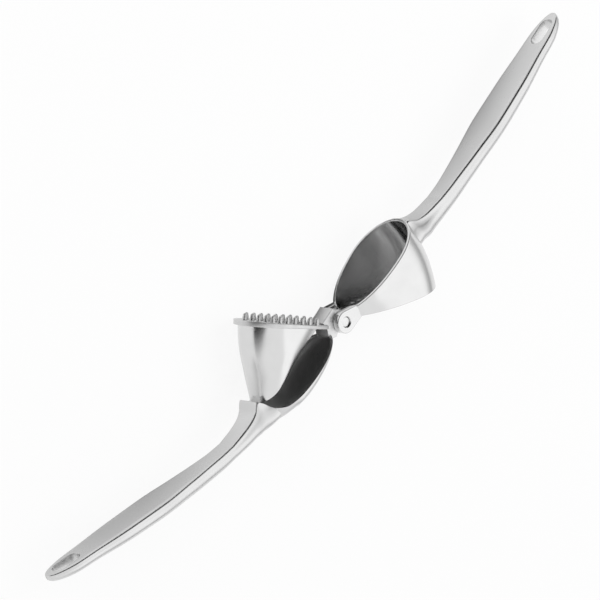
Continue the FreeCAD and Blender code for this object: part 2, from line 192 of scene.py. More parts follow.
# ---- meshes --------------------------------------------------------------------------------
def skin(rings: Sequence[Ring], closed_along: bool = False, capped: bool = True
         ) -> tuple[list[Vector], list[list[int]]]:
    """Quads between closed rings of equal length.

    Args:
        rings: Rings of points, each closed on itself.
        closed_along: Whether the last ring joins the first one.
        capped: Whether the end rings get a face each, if they don't join.

    Returns:
        The points and the faces.
    """
    size = len(rings[0])
    points = [point for ring in rings for point in ring]
    faces: list[list[int]] = []
    spans = len(rings) if closed_along else len(rings) - 1
    for row in range(spans):
        here, there = row * size, (row + 1) % len(rings) * size
        for column in range(size):
            after = (column + 1) % size
            faces.append([here + column, here + after, there + after, there + column])
    if capped and not closed_along:
        faces.append(list(range(size))[::-1])
        faces.append([len(points) - size + column for column in range(size)])
    return points, faces


def to_object(name: str, half: Half, points: Iterable[Vector], faces: Iterable[Sequence[int]],
              sharp: float = 35.0) -> bpy.types.Object:
    """Object from points of the shut press, with merged doubles and outward normals.

    Args:
        name: Name of the piece.
        half: The half that it belongs to.
        points: Points in millimetres.
        faces: Indices of each face.
        sharp: Angle in degrees past which an edge is shaded sharp.

    Returns:
        The object, with its place in its mesh.
    """
    mesh = bpy.data.meshes.new(name)
    mesh.from_pydata([HINGE.place(half, point) for point in points], [], faces)
    clean(mesh)
    mesh.shade_smooth()
    mesh.set_sharp_from_angle(angle=math.radians(sharp))
    piece = bpy.data.objects.new(name, mesh)
    bpy.context.scene.collection.objects.link(piece)
    return piece


def clean(mesh: bpy.types.Mesh, merge: float = 0.004) -> None:
    """Merges doubles within a few microns, drops collapsed faces and turns normals outwards.

    Args:
        mesh: Mesh to clean.
        merge: Distance in millimetres under which points are one.
    """
    work = bmesh.new()
    work.from_mesh(mesh)
    bmesh.ops.remove_doubles(work, verts=work.verts, dist=merge * MM)
    bmesh.ops.dissolve_degenerate(work, edges=work.edges, dist=merge * MM / 2)
    bmesh.ops.recalc_face_normals(work, faces=work.faces)
    work.to_mesh(mesh)
    work.free()


def settle(piece: bpy.types.Object, sharp: float = 35.0) -> None:
    """Turns a piece and its modifiers into a plain mesh.

    Args:
        piece: Piece with its modifiers.
        sharp: Angle in degrees past which an edge is shaded sharp.
    """
    graph = bpy.context.evaluated_depsgraph_get()
    mesh = bpy.data.meshes.new_from_object(piece.evaluated_get(graph))
    piece.modifiers.clear()
    old = piece.data
    piece.data = mesh
    bpy.data.meshes.remove(old)
    mesh.name = piece.name
    mesh.shade_smooth()
    mesh.set_sharp_from_angle(angle=math.radians(sharp))


class Cut(Enum):
    """What a tool does to a piece."""

    AWAY = "DIFFERENCE"
    JOIN = "UNION"


def work_with(piece: bpy.types.Object, tool: bpy.types.Object, cut: Cut,
              sharp: float = 35.0) -> None:
    """Cuts a tool out of a piece, or joins it on, and discards the tool.

    Args:
        piece: Piece to work on.
        tool: Closed tool, which is used up.
        cut: What the tool does.
        sharp: Angle in degrees past which an edge is shaded sharp.
    """
    modifier = piece.modifiers.new(cut.name, "BOOLEAN")
    modifier.operation = cut.value
    modifier.solver = "EXACT"
    modifier.object = tool
    settle(piece, sharp)
    bpy.data.objects.remove(tool)


def finish_piece(piece: bpy.types.Object, half: Half, material: bpy.types.Material,
                 replaced: Sequence[str] = ()) -> bpy.types.Object:
    """Gives a piece its finish, its body and the nodes it stands for.

    Args:
        piece: Piece to finish.
        half: The half that it rides on.
        material: Its finish.
        replaced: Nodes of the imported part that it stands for.

    Returns:
        The same piece.
    """
    piece.data.materials.clear()
    piece.data.materials.append(material)
    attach(piece, half.value)
    if replaced:
        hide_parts(*replaced)
    log.info("%s: %d faces on %s", piece.name, len(piece.data.polygons), half.value)
    return piece


# ---- solids that the sub-assemblies share ---------------------------------------------------
def revolved_leaf(leaf: Leaf, low: float, high: float, half: Half, name: str,
                  around: int = 120, steps: int = 26) -> bpy.types.Object:
    """Closed solid swept by a leaf that turns about the hinge between two angles.

    Args:
        leaf: Outline that is swept.
        low: First angle in degrees.
        high: Last angle in degrees.
        half: The half that it belongs to.
        name: Name of the piece.
        around: Points round the leaf.
        steps: Leaves between the two angles.

    Returns:
        The closed piece.
    """
    rings = []
    for angle in spread(low, high, steps):
        ring = []
        for step in range(around):
            radius, z = leaf.at(2 * math.pi * step / around)
            ring.append(polar(radius, angle, z))
        rings.append(ring)
    return to_object(name, half, *skin(rings))


@dataclass
class PiercedProfile:
    """Flat piece with a hole on the hinge axis and softened edges, such as an ear or the lug.

    The outline gives the distance from the hinge axis at each angle in degrees.
    """

    outline: Callable[[float], float]
    hole: float
    softness: float
    around: int = 180
    corners: tuple[float, ...] = ()

    def angles(self) -> list[float]:
        """Angles of the outline's points, with its corners among them.

        Returns:
            The angles in degrees, in order.
        """
        even = [360.0 * step / self.around for step in range(self.around)]
        kept = [angle for angle in even
                if all(abs(angle - corner % 360) > 0.7 for corner in self.corners)]
        return sorted(kept + [corner % 360 for corner in self.corners])

    def build(self, name: str, half: Half, low: float, high: float) -> bpy.types.Object:
        """Makes the piece between two heights.

        Args:
            name: Name of the piece.
            half: The half that it belongs to.
            low: Lower height in millimetres.
            high: Upper height in millimetres.

        Returns:
            The piece, not yet finished.
        """
        soft = self.softness
        quarter = [math.radians(turn) for turn in (0, 22.5, 45, 67.5, 90)]
        edge = [(soft * (1 - math.cos(turn)), soft * (1 - math.sin(turn))) for turn in quarter]
        rings: list[Ring] = []
        for end, away in ((low, 1.0), (high, -1.0)):
            side = [self.ring(-inset, end + away * drop) for inset, drop in edge[::-1]]
            mouth = [self.bore(self.hole + 0.25, end), self.bore(self.hole, end + away * 0.25)]
            rings += (mouth[::-1] + side if away > 0 else side[::-1] + mouth)
        return to_object(name, half, *skin(rings, closed_along=True))

    def ring(self, grown: float, z: float) -> Ring:
        """Outline at a height, moved outwards by a distance."""
        return [polar(self.outline(angle) + grown, angle, z) for angle in self.angles()]

    def bore(self, radius: float, z: float) -> Ring:
        """Circle of the hole at a height, with as many points as the outline."""
        return [polar(radius, angle, z) for angle in self.angles()]


# ---- handles -------------------------------------------------------------------------------
@dataclass(frozen=True)
class HandleLine:
    """One handle's own coordinates: u along its flat face, w from the flat to the other handle."""

    half: Half
    slope: float
    face_offset: float
    inner_side: float
    tip_radius: float
    neck_depth: float
    grip_depth: float
    neck_at: float = 76.0
    neck_half: float = 4.9
    neck_rise: float = 1.3
    grip_at: float = 122.0
    grip_half: float = 8.7
    edge_softness: float = 2.0
    edge_drop: float = 1.2
    edge_share: float = 0.24
    drop_share: float = 0.14
    slot_length: float = 14.0
    slot_width: float = 6.5
    slot_margin: float = 4.2
    slot_flare: float = 0.35

    @property
    def along(self) -> Vector:
        """Direction of the flat face."""
        return polar(1.0, self.slope)

    @property
    def inwards(self) -> Vector:
        """Direction from the flat towards the other handle."""
        return polar(self.inner_side, self.slope + 90)

    @property
    def tip(self) -> float:
        """Distance u of the tip."""
        return math.sqrt(self.tip_radius ** 2 - self.face_offset ** 2)

    def place(self, x: float, y: float) -> tuple[float, float]:
        """The pair (u, w) of a point in the plane of the handles."""
        offset = Vector((x, y, 0)) - polar(self.face_offset, self.slope + 90)
        return offset.dot(self.along), offset.dot(self.inwards)

    def point(self, u: float, w: float, z: float) -> Vector:
        """Point of the shut press from the handle's own coordinates."""
        foot = polar(self.face_offset, self.slope + 90)
        return foot + self.along * u + self.inwards * w + Vector((0, 0, z))

    def section(self, u: float, face_w: float, half_flat: float, half_belly: float,
                depth: float, belly_at: float) -> Ring:
        """D-shaped ring across the handle.

        Args:
            u: Place along the handle.
            face_w: Height of the flat at this place.
            half_flat: Half-width of the flat, with its soft edges.
            half_belly: Half-width where the ring is widest.
            depth: Distance from the flat to the back.
            belly_at: Share of the depth at which the ring is widest.

        Returns:
            The ring's points, from the middle of the flat round the back to it again.
        """
        soft = min(self.edge_softness, self.edge_share * half_flat)
        drop = min(self.edge_drop, self.drop_share * depth)
        belly = max(belly_at * depth, 2.0 * drop)
        side = [(share * (half_flat - soft), 0.0) for share in (0.3, 0.65, 0.9)]
        for turn in (0, 18, 36, 54, 72, 90):
            angle = math.radians(turn)
            side.append((half_flat - soft + soft * math.sin(angle), drop * (1 - math.cos(angle))))
        for share in (0.25, 0.5, 0.75):
            bulge = half_flat + (half_belly - half_flat) * smooth_step(share)
            side.append((bulge, drop + share * (belly - drop)))
        for turn in (0, 9, 18, 27, 36, 45, 54, 63, 72, 81):
            angle = math.radians(turn)
            side.append((half_belly * math.cos(angle),
                         belly + (depth - belly) * math.sin(angle)))
        around = [(0.0, 0.0)] + side + [(0.0, depth)] + [(-z, fall) for z, fall in side[::-1]]
        return [self.point(u, face_w - fall, z) for z, fall in around]

    def neck(self) -> Station:
        """Section where the cast root meets the handle."""
        return (self.neck_at, self.neck_rise, self.neck_half, self.neck_half * 1.08,
                self.neck_depth, 0.4)

    def grip(self) -> list[Station]:
        """Sections from the neck to the rounded tip.

        Returns:
            Stations from the neck on, as section takes them.
        """
        grip_end = self.tip - 1.6 * self.slot_length
        neck_end = self.neck_at + 9.0
        depth, half = self.grip_depth, self.grip_half
        middle = (self.neck_half + half) / 2 + 0.2
        stations = [
            self.neck(),
            (neck_end, 0.45, self.neck_half + 0.4, self.neck_half * 1.08 + 0.4,
             (self.neck_depth + depth) / 2, 0.38),
            ((neck_end + self.grip_at) / 2, 0.05, middle, middle + 0.4, depth, 0.35),
            (self.grip_at, 0.0, half, half + 0.35, depth, 0.33),
            ((self.grip_at + grip_end) / 2, 0.0, half - 0.3, half, 0.94 * depth, 0.33),
            (grip_end, 0.0, half - 1.6, half - 1.3, 0.78 * depth, 0.33),
        ]
        for share in (0.4, 0.65, 0.82, 0.92, 0.97, 0.99):
            taper = math.sqrt(1.0 - share ** 2.3)
            width = (half - 1.6) * taper
            stations.append((grip_end + share * (self.tip - grip_end), 0.0, width,
                             width + 0.3 * taper, (0.2 + 0.58 * taper) * depth, 0.33))
        return stations

    def solid(self, name: str, root: Sequence[Station]) -> bpy.types.Object:
        """One skin from the root's first section to the tip.

        Args:
            name: Name of the piece.
            root: Sections of the root, which end at the neck.

        Returns:
            The closed piece, without its slot.
        """
        rings = [self.section(*row) for row in blend(root, 1.0)[:-1]]
        rings += [self.section(*row) for row in blend(self.grip(), 1.3)]
        return to_object(name, self.half, *skin(rings), sharp=50.0)

    def slot_tool(self, name: str) -> bpy.types.Object:
        """Tool for the oblong slot, flared where it leaves the flat so that its edge is round.

        Args:
            name: Name of the tool.

        Returns:
            The closed tool.
        """
        radius = self.slot_width / 2
        far_u = self.tip - self.slot_margin - radius
        near_u = far_u - self.slot_length + self.slot_width
        flare = self.slot_flare
        heights = [(flare * (1 - math.sin(math.radians(turn))),
                    -flare * (1 - math.cos(math.radians(turn)))) for turn in range(0, 91, 15)]
        levels = [(flare, 3.0)] + heights + [(0.0, -3.0 * self.grip_depth)]
        rings = []
        for grown, w in levels:
            ring = []
            for centre, start in ((far_u, -90), (near_u, 90)):
                for turn in spread(start, start + 180, 25):
                    angle = math.radians(turn)
                    reach = radius + grown
                    ring.append(self.point(centre + reach * math.cos(angle), w,
                                           reach * math.sin(angle)))
            rings.append(ring)
        return to_object(name, self.half, *skin(rings))


# ---- finishes ------------------------------------------------------------------------------
def linear(colour: str) -> tuple[float, float, float, float]:
    """Linear colour from an sRGB hex value such as #E6E6E8."""
    channels = [int(colour[place:place + 2], 16) / 255 for place in (1, 3, 5)]
    return (*(value / 12.92 if value <= 0.04045 else ((value + 0.055) / 1.055) ** 2.4
              for value in channels), 1.0)


def add_node(tree: bpy.types.NodeTree, kind: str, settings: Optional[dict] = None,
             inputs: Optional[dict] = None) -> bpy.types.Node:
    """Adds a node, with its settings, its input values and its links.

    Args:
        tree: Node tree to add to.
        kind: Type of the node, such as ShaderNodeTexNoise.
        settings: Attributes of the node.
        inputs: Values or output sockets by input name or index.

    Returns:
        The node.
    """
    node = tree.nodes.new(kind)
    for name, value in (settings or {}).items():
        setattr(node, name, value)
    for name, value in (inputs or {}).items():
        if isinstance(value, bpy.types.NodeSocket):
            tree.links.new(value, node.inputs[name])
        else:
            node.inputs[name].default_value = value
    return node


@dataclass(frozen=True)
class SteelFinish:
    """Stainless steel, by the way its surface was worked.

    The metal reflects what is round it, so its look is its roughness: how far the polishing
    went, and the fine lines that the wheel or the belt left.
    """

    name: str
    colour: str
    dull_colour: str
    roughness: float
    roughness_spread: float
    line_pitch_mm: float
    line_length_mm: float
    line_depth_mm: float
    ripple_mm: float = 9.0
    ripple_depth_mm: float = 0.0
    line_direction: float = 0.0

    def material(self) -> bpy.types.Material:
        """Builds the material from the finish's sizes.

        Returns:
            The material.
        """
        material = bpy.data.materials.new(self.name)
        material.use_nodes = True
        tree = material.node_tree
        tree.nodes.clear()
        place = add_node(tree, "ShaderNodeTexCoord").outputs["Object"]
        stretched = add_node(tree, "ShaderNodeMapping", {}, {
            "Vector": place,
            "Rotation": (0.0, 0.0, math.radians(self.line_direction)),
            "Scale": (self.line_pitch_mm / self.line_length_mm, 1.0, 1.0)}).outputs[0]
        lines = add_node(tree, "ShaderNodeTexNoise", {}, {
            "Vector": stretched, "Scale": 1.0 / (self.line_pitch_mm * MM), "Detail": 3.0,
            "Roughness": 0.6}).outputs["Fac"]
        cloud = add_node(tree, "ShaderNodeTexNoise", {}, {
            "Vector": place, "Scale": 1.0 / (self.ripple_mm * MM), "Detail": 2.0}).outputs["Fac"]
        colour = add_node(tree, "ShaderNodeMix", {"data_type": "RGBA"}, {
            "Factor": cloud, "A": linear(self.colour), "B": linear(self.dull_colour)})
        worn = add_node(tree, "ShaderNodeMath", {"operation": "ADD"}, {0: lines, 1: cloud})
        rough = add_node(tree, "ShaderNodeMapRange", {}, {
            "Value": worn.outputs[0], "From Min": 0.7, "From Max": 1.3,
            "To Min": self.roughness - self.roughness_spread,
            "To Max": self.roughness + self.roughness_spread}).outputs[0]
        ripple = add_node(tree, "ShaderNodeBump", {}, {
            "Strength": 1.0, "Distance": self.ripple_depth_mm * MM, "Height": cloud})
        relief = add_node(tree, "ShaderNodeBump", {}, {
            "Strength": 1.0, "Distance": self.line_depth_mm * MM, "Height": lines,
            "Normal": ripple.outputs[0]})
        shader = add_node(tree, "ShaderNodeBsdfPrincipled", {}, {
            "Base Color": colour.outputs["Result"], "Metallic": 1.0, "Roughness": rough,
            "Normal": relief.outputs[0]})
        add_node(tree, "ShaderNodeOutputMaterial", {}, {"Surface": shader.outputs[0]})
        return material


# Cast stainless steel, polished on a cloth wheel: reflections that soften a little, with the
# faint ripple of a hand-held piece and almost no grain.
POLISHED_STEEL = SteelFinish(
    "polished_stainless_steel", "#DEDEDE", "#D5D5D5", 0.21, 0.03, 0.35, 9.0, 0.0004,
    9.0, 0.004)
# The handles are polished less far: reflections blur, and fine lines run lengthways.
BUFFED_STEEL = SteelFinish(
    "buffed_stainless_steel", "#D9D9D9", "#D2D2D2", 0.30, 0.03, 0.3, 24.0, 0.0006,
    14.0, 0.006, -9.0)
# The lug keeps more of its cast skin between the ears: bright, but with hardly a reflection.
CAST_STEEL = SteelFinish(
    "cast_stainless_steel", "#E4E4E4", "#DADADA", 0.48, 0.04, 0.3, 1.0, 0.002, 5.0, 0.006)
# The press plate and its studs are tumbled after casting: a soft, greyer sheen without lines.
TUMBLED_STEEL = SteelFinish(
    "tumbled_stainless_steel", "#DCDCDC", "#D0D0D0", 0.46, 0.05, 0.25, 0.6, 0.0025,
    5.0, 0.008)
# The sieve is punched sheet, polished on its faces only; its colour is darker than the other steel
# as painted shade of the cup that it lies in.
PUNCHED_STEEL_PAINTED_SHADE = SteelFinish(
    "punched_sheet_painted_shade", "#BFBFBF", "#A8A8A8", 0.26, 0.05, 0.3, 3.0, 0.0015,
    6.0, 0.004)
# The pin is turned bar with a faced end: fine rings that read as a soft, bright disc.
TURNED_STEEL = SteelFinish(
    "turned_stainless_steel", "#E3E3E3", "#D5D5D5", 0.28, 0.04, 0.2, 1.2, 0.002, 4.0, 0.003)


@dataclass
class SteelShop:
    """The finishes of one press, each made once."""

    made: dict[str, bpy.types.Material] = field(default_factory=dict)

    def get(self, finish: SteelFinish) -> bpy.types.Material:
        """The material of a finish."""
        if finish.name not in self.made:
            self.made[finish.name] = finish.material()
        return self.made[finish.name]


# ---- repeats by geometry nodes -------------------------------------------------------------
class RepeatTree:
    """Geometry Nodes tree that puts one small shape on every marked point of a mesh."""

    MARK = "repeat_here"

    def __init__(self, name: str) -> None:
        """Starts a tree with a geometry input, a turn input and a geometry output.

        Args:
            name: Name of the tree.
        """
        self.tree = bpy.data.node_groups.new(name, "GeometryNodeTree")
        self.socket("Geometry", "INPUT", "NodeSocketGeometry")
        self.socket("Geometry", "OUTPUT", "NodeSocketGeometry")
        self.turn = self.socket("Turn", "INPUT", "NodeSocketVector")
        self.sizes: dict[str, tuple[str, float]] = {}
        self.entry = add_node(self.tree, "NodeGroupInput")

    def socket(self, name: str, way: str, kind: str) -> str:
        """Adds a socket to the tree and gives its identifier."""
        made = self.tree.interface.new_socket(name=name, in_out=way, socket_type=kind)
        return made.identifier

    def size(self, name: str, value: float) -> str:
        """Adds a named size to the tree's inputs and gives its name."""
        self.sizes[name] = (self.socket(name, "INPUT", "NodeSocketFloat"), value)
        return name

    def value(self, name: str) -> bpy.types.NodeSocket:
        """Output socket of the tree's own input node."""
        return self.entry.outputs[name]

    def repeated(self, shape: bpy.types.NodeSocket) -> tuple[bpy.types.NodeSocket, ...]:
        """Puts a shape on the marked points.

        Args:
            shape: Geometry socket of the shape, with its axis on Z.

        Returns:
            The sockets of the repeated shapes and of the rest of the mesh.
        """
        mark = add_node(self.tree, "GeometryNodeInputNamedAttribute",
                        {"data_type": "BOOLEAN"}, {"Name": self.MARK})
        parted = add_node(self.tree, "GeometryNodeSeparateGeometry", {"domain": "POINT"}, {
            "Geometry": self.value("Geometry"), "Selection": mark.outputs["Attribute"]})
        turn = add_node(self.tree, "FunctionNodeEulerToRotation", {}, {
            "Euler": self.value("Turn")})
        copies = add_node(self.tree, "GeometryNodeInstanceOnPoints", {}, {
            "Points": parted.outputs["Selection"], "Instance": shape,
            "Rotation": turn.outputs[0]})
        real = add_node(self.tree, "GeometryNodeRealizeInstances", {}, {
            "Geometry": copies.outputs[0]})
        return real.outputs[0], parted.outputs["Inverted"]

    def close(self, result: bpy.types.NodeSocket, material: bpy.types.Material) -> None:
        """Ends the tree with real geometry in one material.

        Args:
            result: Geometry socket of what is kept.
            material: Finish of all of it.
        """
        real = add_node(self.tree, "GeometryNodeRealizeInstances", {}, {"Geometry": result})
        dressed = add_node(self.tree, "GeometryNodeSetMaterial", {}, {
            "Geometry": real.outputs[0], "Material": material})
        add_node(self.tree, "NodeGroupOutput", {}, {"Geometry": dressed.outputs[0]})

    def run(self, piece: bpy.types.Object, direction: Vector, sharp: float = 35.0) -> None:
        """Runs the tree on a piece and leaves a plain mesh.

        Args:
            piece: Piece whose marked points get the shape.
            direction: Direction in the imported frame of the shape's own Z axis.
            sharp: Angle in degrees past which an edge is shaded sharp.
        """
        modifier = piece.modifiers.new(self.tree.name, "NODES")
        modifier.node_group = self.tree
        modifier[self.turn] = tuple(Vector((0, 0, 1)).rotation_difference(direction).to_euler())
        for identifier, value in self.sizes.values():
            modifier[identifier] = value
        settle(piece, sharp)


def mark_points(piece: bpy.types.Object, half: Half, places: Sequence[Vector]) -> None:
    """Adds loose, marked points to a piece at places of the shut press.

    Args:
        piece: Piece that gets the points.
        half: The half that it belongs to.
        places: Points in millimetres.
    """
    work = bmesh.new()
    work.from_mesh(piece.data)
    layer = work.verts.layers.bool.new(RepeatTree.MARK)
    for place in places:
        work.verts.new(HINGE.place(half, place))[layer] = True
    work.to_mesh(piece.data)
    work.free()


# ---- the leaf that both halves share -------------------------------------------------------
@dataclass(frozen=True)
class PressLeaf:
    """Sizes of the leaf-shaped cup that the plunger sweeps along."""

    inside: Leaf = Leaf(6.2, 36.1, 54.6, 14.5)
    wall: float = 1.4
    mouth_angle: float = 10.4
    sieve_angle: float = -24.9
    sieve_thickness: float = 1.5
    hole_radius: float = 1.35
    hole_pitch: float = 4.2
    first_hole: float = 14.2
    hole_margin: float = 0.9
    lug_room: float = 11.2
    ear_inner: float = 4.1
    ear_outer: float = 7.5
    boss_radius: float = 4.95
    pin_radius: float = 2.3

    def sieve_point(self, along: float, height: float, z: float) -> Vector:
        """Point from the distance along the sieve and the height over its outer face."""
        angle = math.radians(self.sieve_angle)
        return Vector((along * math.cos(angle) - height * math.sin(angle),
                       along * math.sin(angle) + height * math.cos(angle), z))

    def hole_places(self) -> list[tuple[float, float]]:
        """Distances along the sieve and along the hinge of the holes and of the studs.

        Returns:
            One pair for each hole.
        """
        margin = self.hole_radius + self.hole_margin
        columns = int((self.inside.outer - self.first_hole) / self.hole_pitch) + 1
        rows = int(self.inside.half / self.hole_pitch)
        places = []
        for column in range(columns):
            along = self.first_hole + column * self.hole_pitch
            room = min(self.inside.half_width(along + step) for step in (-margin, 0.0, margin))
            places += [(along, row * self.hole_pitch) for row in range(-rows, rows + 1)
                       if abs(row) * self.hole_pitch + margin * 0.9 <= room]
        return places


LEAF = PressLeaf()


# ---- hopper half ---------------------------------------------------------------------------
@dataclass
class HopperCup:
    """Leaf-shaped cup with a rounded rim, open at the hinge between its two ears."""

    leaf: PressLeaf = LEAF
    rim_round_out: float = 0.45
    rim_round_down: float = 0.55
    rim_round_in: float = 0.2
    foot_round: float = 0.3
    ear_softness: float = 0.45
    ear_reach: float = 9.6
    around: int = 150
    up: int = 24

    def wall_ring(self, share: float) -> Ring:
        """Section through the wall at one place of its run from ear to ear.

        Args:
            share: Place of the section, from -1 at one ear to 1 at the other.

        Returns:
            The closed section, up the outside, over the rim and down the inside.
        """
        leaf, wall = self.leaf, self.leaf.wall
        inner_end = leaf.inside.turn_at(leaf.ear_inner)
        outer_end = leaf.inside.grown(wall).turn_at(leaf.ear_inner)

        def at(offset: float, angle: float, height: float) -> Vector:
            """Point of the wall by its offset from the inside, its angle and its height."""
            turn = share * (inner_end + (outer_end - inner_end) * offset / wall)
            radius, z = leaf.inside.grown(offset).at(turn)
            return polar(radius, angle, z) + polar(height, angle + 90)

        low, high = leaf.sieve_angle, leaf.mouth_angle
        foot, out, down, inn = (self.foot_round, self.rim_round_out, self.rim_round_down,
                                self.rim_round_in)
        ring = [at(wall - foot, low, 0.0), at(wall, low, foot)]
        ring += [at(wall, angle, 0.0) for angle in spread(low, high, self.up)[1:-1]]
        ring += [at(wall - out + out * math.cos(math.radians(turn)), high,
                    -down + down * math.sin(math.radians(turn))) for turn in range(0, 91, 15)]
        ring += [at(inn - inn * math.sin(math.radians(turn)), high,
                    -inn + inn * math.cos(math.radians(turn))) for turn in range(0, 91, 30)]
        ring += [at(0.0, angle, 0.0) for angle in spread(high, low, self.up)[1:-1]]
        return ring + [at(0.0, low, 0.0)]

    def shell(self) -> bpy.types.Object:
        """The cup's wall with its rim."""
        rings = [self.wall_ring(share) for share in spread(-1.0, 1.0, self.around)]
        return to_object("hopper_cup_wall", Half.HOPPER, *skin(rings), sharp=40.0)

    def room(self, name: str, grown: float) -> bpy.types.Object:
        """Tool with the shape of the cup's inside, moved outwards into its wall."""
        return revolved_leaf(self.leaf.inside.grown(grown), self.leaf.sieve_angle - 12,
                             self.leaf.mouth_angle + 12, Half.HOPPER, name)

    def ear_outline(self, angle: float) -> float:
        """Distance from the hinge axis to the ear's outline.

        Args:
            angle: Angle in degrees.

        Returns:
            The distance in millimetres.
        """
        boss, reach = self.leaf.boss_radius, self.ear_reach
        top, low = self.leaf.mouth_angle, self.leaf.sieve_angle
        lean = math.degrees(math.acos(boss / reach))
        turned = (angle + 180) % 360 - 180
        middle, spread_half = (top + low) / 2, (top - low) / 2
        if low <= turned <= top:
            chord = reach * math.cos(math.radians(spread_half))
            return chord / math.cos(math.radians(turned - middle))
        for corner, side in ((top, 1), (low, -1)):
            past = side * (turned - corner)
            if 0 <= past <= lean:
                return boss / math.cos(math.radians(lean - past))
        return boss

    def ears(self) -> list[bpy.types.Object]:
        """Two ears with softened edges, cut back where they would stand in the cup.

        Returns:
            The upper and the lower ear, not yet finished.
        """
        lean = math.degrees(math.acos(self.leaf.boss_radius / self.ear_reach))
        profile = PiercedProfile(
            self.ear_outline, self.leaf.pin_radius, self.ear_softness,
            corners=(self.leaf.mouth_angle, self.leaf.sieve_angle,
                     self.leaf.mouth_angle + lean, self.leaf.sieve_angle - lean))
        made = []
        for name, low, high in (("ear_upper", self.leaf.ear_inner, self.leaf.ear_outer),
                                ("ear_lower", -self.leaf.ear_outer, -self.leaf.ear_inner)):
            ear = profile.build(name, Half.HOPPER, low, high)
            work_with(ear, self.room("ear_room", 0.4), Cut.AWAY)
            made.append(ear)
        return made

    def dress(self, shop: SteelShop) -> None:
        """Builds the cup's pieces and finishes them.

        Args:
            shop: Finishes of the press.
        """
        steel = shop.get(POLISHED_STEEL)
        finish_piece(self.shell(), Half.HOPPER, steel, ["hopper_cup"])
        for ear in self.ears():
            finish_piece(ear, Half.HOPPER, steel)


@dataclass
class HopperHandle:
    """Upper handle and its root, which flares down the cup's end wall."""

    line: HandleLine = HandleLine(Half.HOPPER, 9.9, -11.2, 1.0, 183.4, 9.6, 8.8)
    cup: HopperCup = field(default_factory=HopperCup)
    root_seat: float = 0.7

    def root(self) -> list[Station]:
        """Sections from inside the cup's wall to the neck.

        Returns:
            Stations as section takes them.
        """
        line, leaf = self.line, self.cup.leaf
        end_wall = leaf.inside.outer + leaf.wall
        rim = polar(end_wall, leaf.mouth_angle)
        rim_w = line.place(rim.x, rim.y)[1]
        neck = line.neck_half
        return [
            (end_wall - 7.0, rim_w - 0.3, neck + 0.9, 9.6, rim_w + 2.0, 0.60),
            (end_wall - 0.3, rim_w - 0.6, neck + 0.8, 8.6, rim_w + 3.2, 0.60),
            (end_wall + 2.2, rim_w - 3.4, neck + 0.6, 8.0, rim_w + 1.6, 0.55),
            (end_wall + 5.0, 6.0, neck + 0.3, 7.3, 12.0, 0.50),
            (end_wall + 10.0, 3.7, neck + 0.1, 6.2, 10.5, 0.44),
            line.neck(),
        ]

    def dress(self, shop: SteelShop) -> None:
        """Builds the handle with its slot and finishes it.

        Args:
            shop: Finishes of the press.
        """
        handle = self.line.solid("hopper_handle_forging", self.root())
        work_with(handle, self.cup.room("root_room", self.root_seat), Cut.AWAY, 40.0)
        work_with(handle, self.line.slot_tool("hopper_slot"), Cut.AWAY, 40.0)
        finish_piece(handle, Half.HOPPER, shop.get(BUFFED_STEEL),
                     ["hopper_handle"])


@dataclass
class Sieve:
    """Perforated floor of the cup, punched with one round hole for each stud."""

    leaf: PressLeaf = LEAF
    hole_sides: int = 32
    seat: float = 0.05

    def plate(self) -> bpy.types.Object:
        """The plate before it is punched.

        Returns:
            The plate without holes.
        """
        outline = self.leaf.inside.grown(self.seat)
        end = math.acos((self.leaf.lug_room - outline.wide) / (outline.wide - outline.narrow))
        rings = []
        for height in (0.0, self.leaf.sieve_thickness):
            ring = []
            for turn in spread(-end, end, 121):
                along, z = outline.at(turn)
                ring.append(self.leaf.sieve_point(along, height, z))
            rings.append(ring)
        return to_object("sieve_punched_plate", Half.HOPPER, *skin(rings))

    def dress(self, shop: SteelShop) -> None:
        """Builds the plate, punches it and finishes it.

        Args:
            shop: Finishes of the press.
        """
        # The sieve's darker colour is painted shade of the cup round it.
        steel = shop.get(PUNCHED_STEEL_PAINTED_SHADE)
        plate = self.plate()
        middle = self.leaf.sieve_thickness / 2
        mark_points(plate, Half.HOPPER, [self.leaf.sieve_point(along, middle, z)
                                         for along, z in self.leaf.hole_places()])
        punch = RepeatTree("sieve_holes")
        radius = punch.size("Hole Radius", self.leaf.hole_radius * MM)
        depth = punch.size("Punch Depth", 3 * self.leaf.sieve_thickness * MM)
        tool = add_node(punch.tree, "GeometryNodeMeshCylinder", {}, {
            "Vertices": self.hole_sides, "Radius": punch.value(radius),
            "Depth": punch.value(depth)})
        tools, rest = punch.repeated(tool.outputs["Mesh"])
        pierced = add_node(punch.tree, "GeometryNodeMeshBoolean", {"operation": "DIFFERENCE"}, {
            "Mesh 1": rest, "Mesh 2": tools})
        punch.close(pierced.outputs["Mesh"], steel)
        up = HINGE.place(Half.HOPPER, self.leaf.sieve_point(0, 1, 0)) - HINGE.axis
        punch.run(plate, up.normalized())
        finish_piece(plate, Half.HOPPER, steel, ["sieve_plate"])


@dataclass
class HingePin:
    """Plain pin in both ears, its chamfered ends a little below their faces."""

    radius: float = 2.29
    reach: float = 6.7
    chamfer: float = 0.3
    around: int = 96

    def dress(self, shop: SteelShop) -> None:
        """Builds the pin and finishes it.

        Args:
            shop: Finishes of the press.
        """
        profile = [(self.radius - self.chamfer, -self.reach),
                   (self.radius, -self.reach + self.chamfer),
                   (self.radius, self.reach - self.chamfer),
                   (self.radius - self.chamfer, self.reach)]
        rings = [[polar(radius, 360 * step / self.around, z) for step in range(self.around)]
                 for radius, z in profile]
        pin = to_object("hinge_pin_turned", Half.HOPPER, *skin(rings), sharp=30.0)
        finish_piece(pin, Half.HOPPER, shop.get(TURNED_STEEL), ["hinge_pin"])


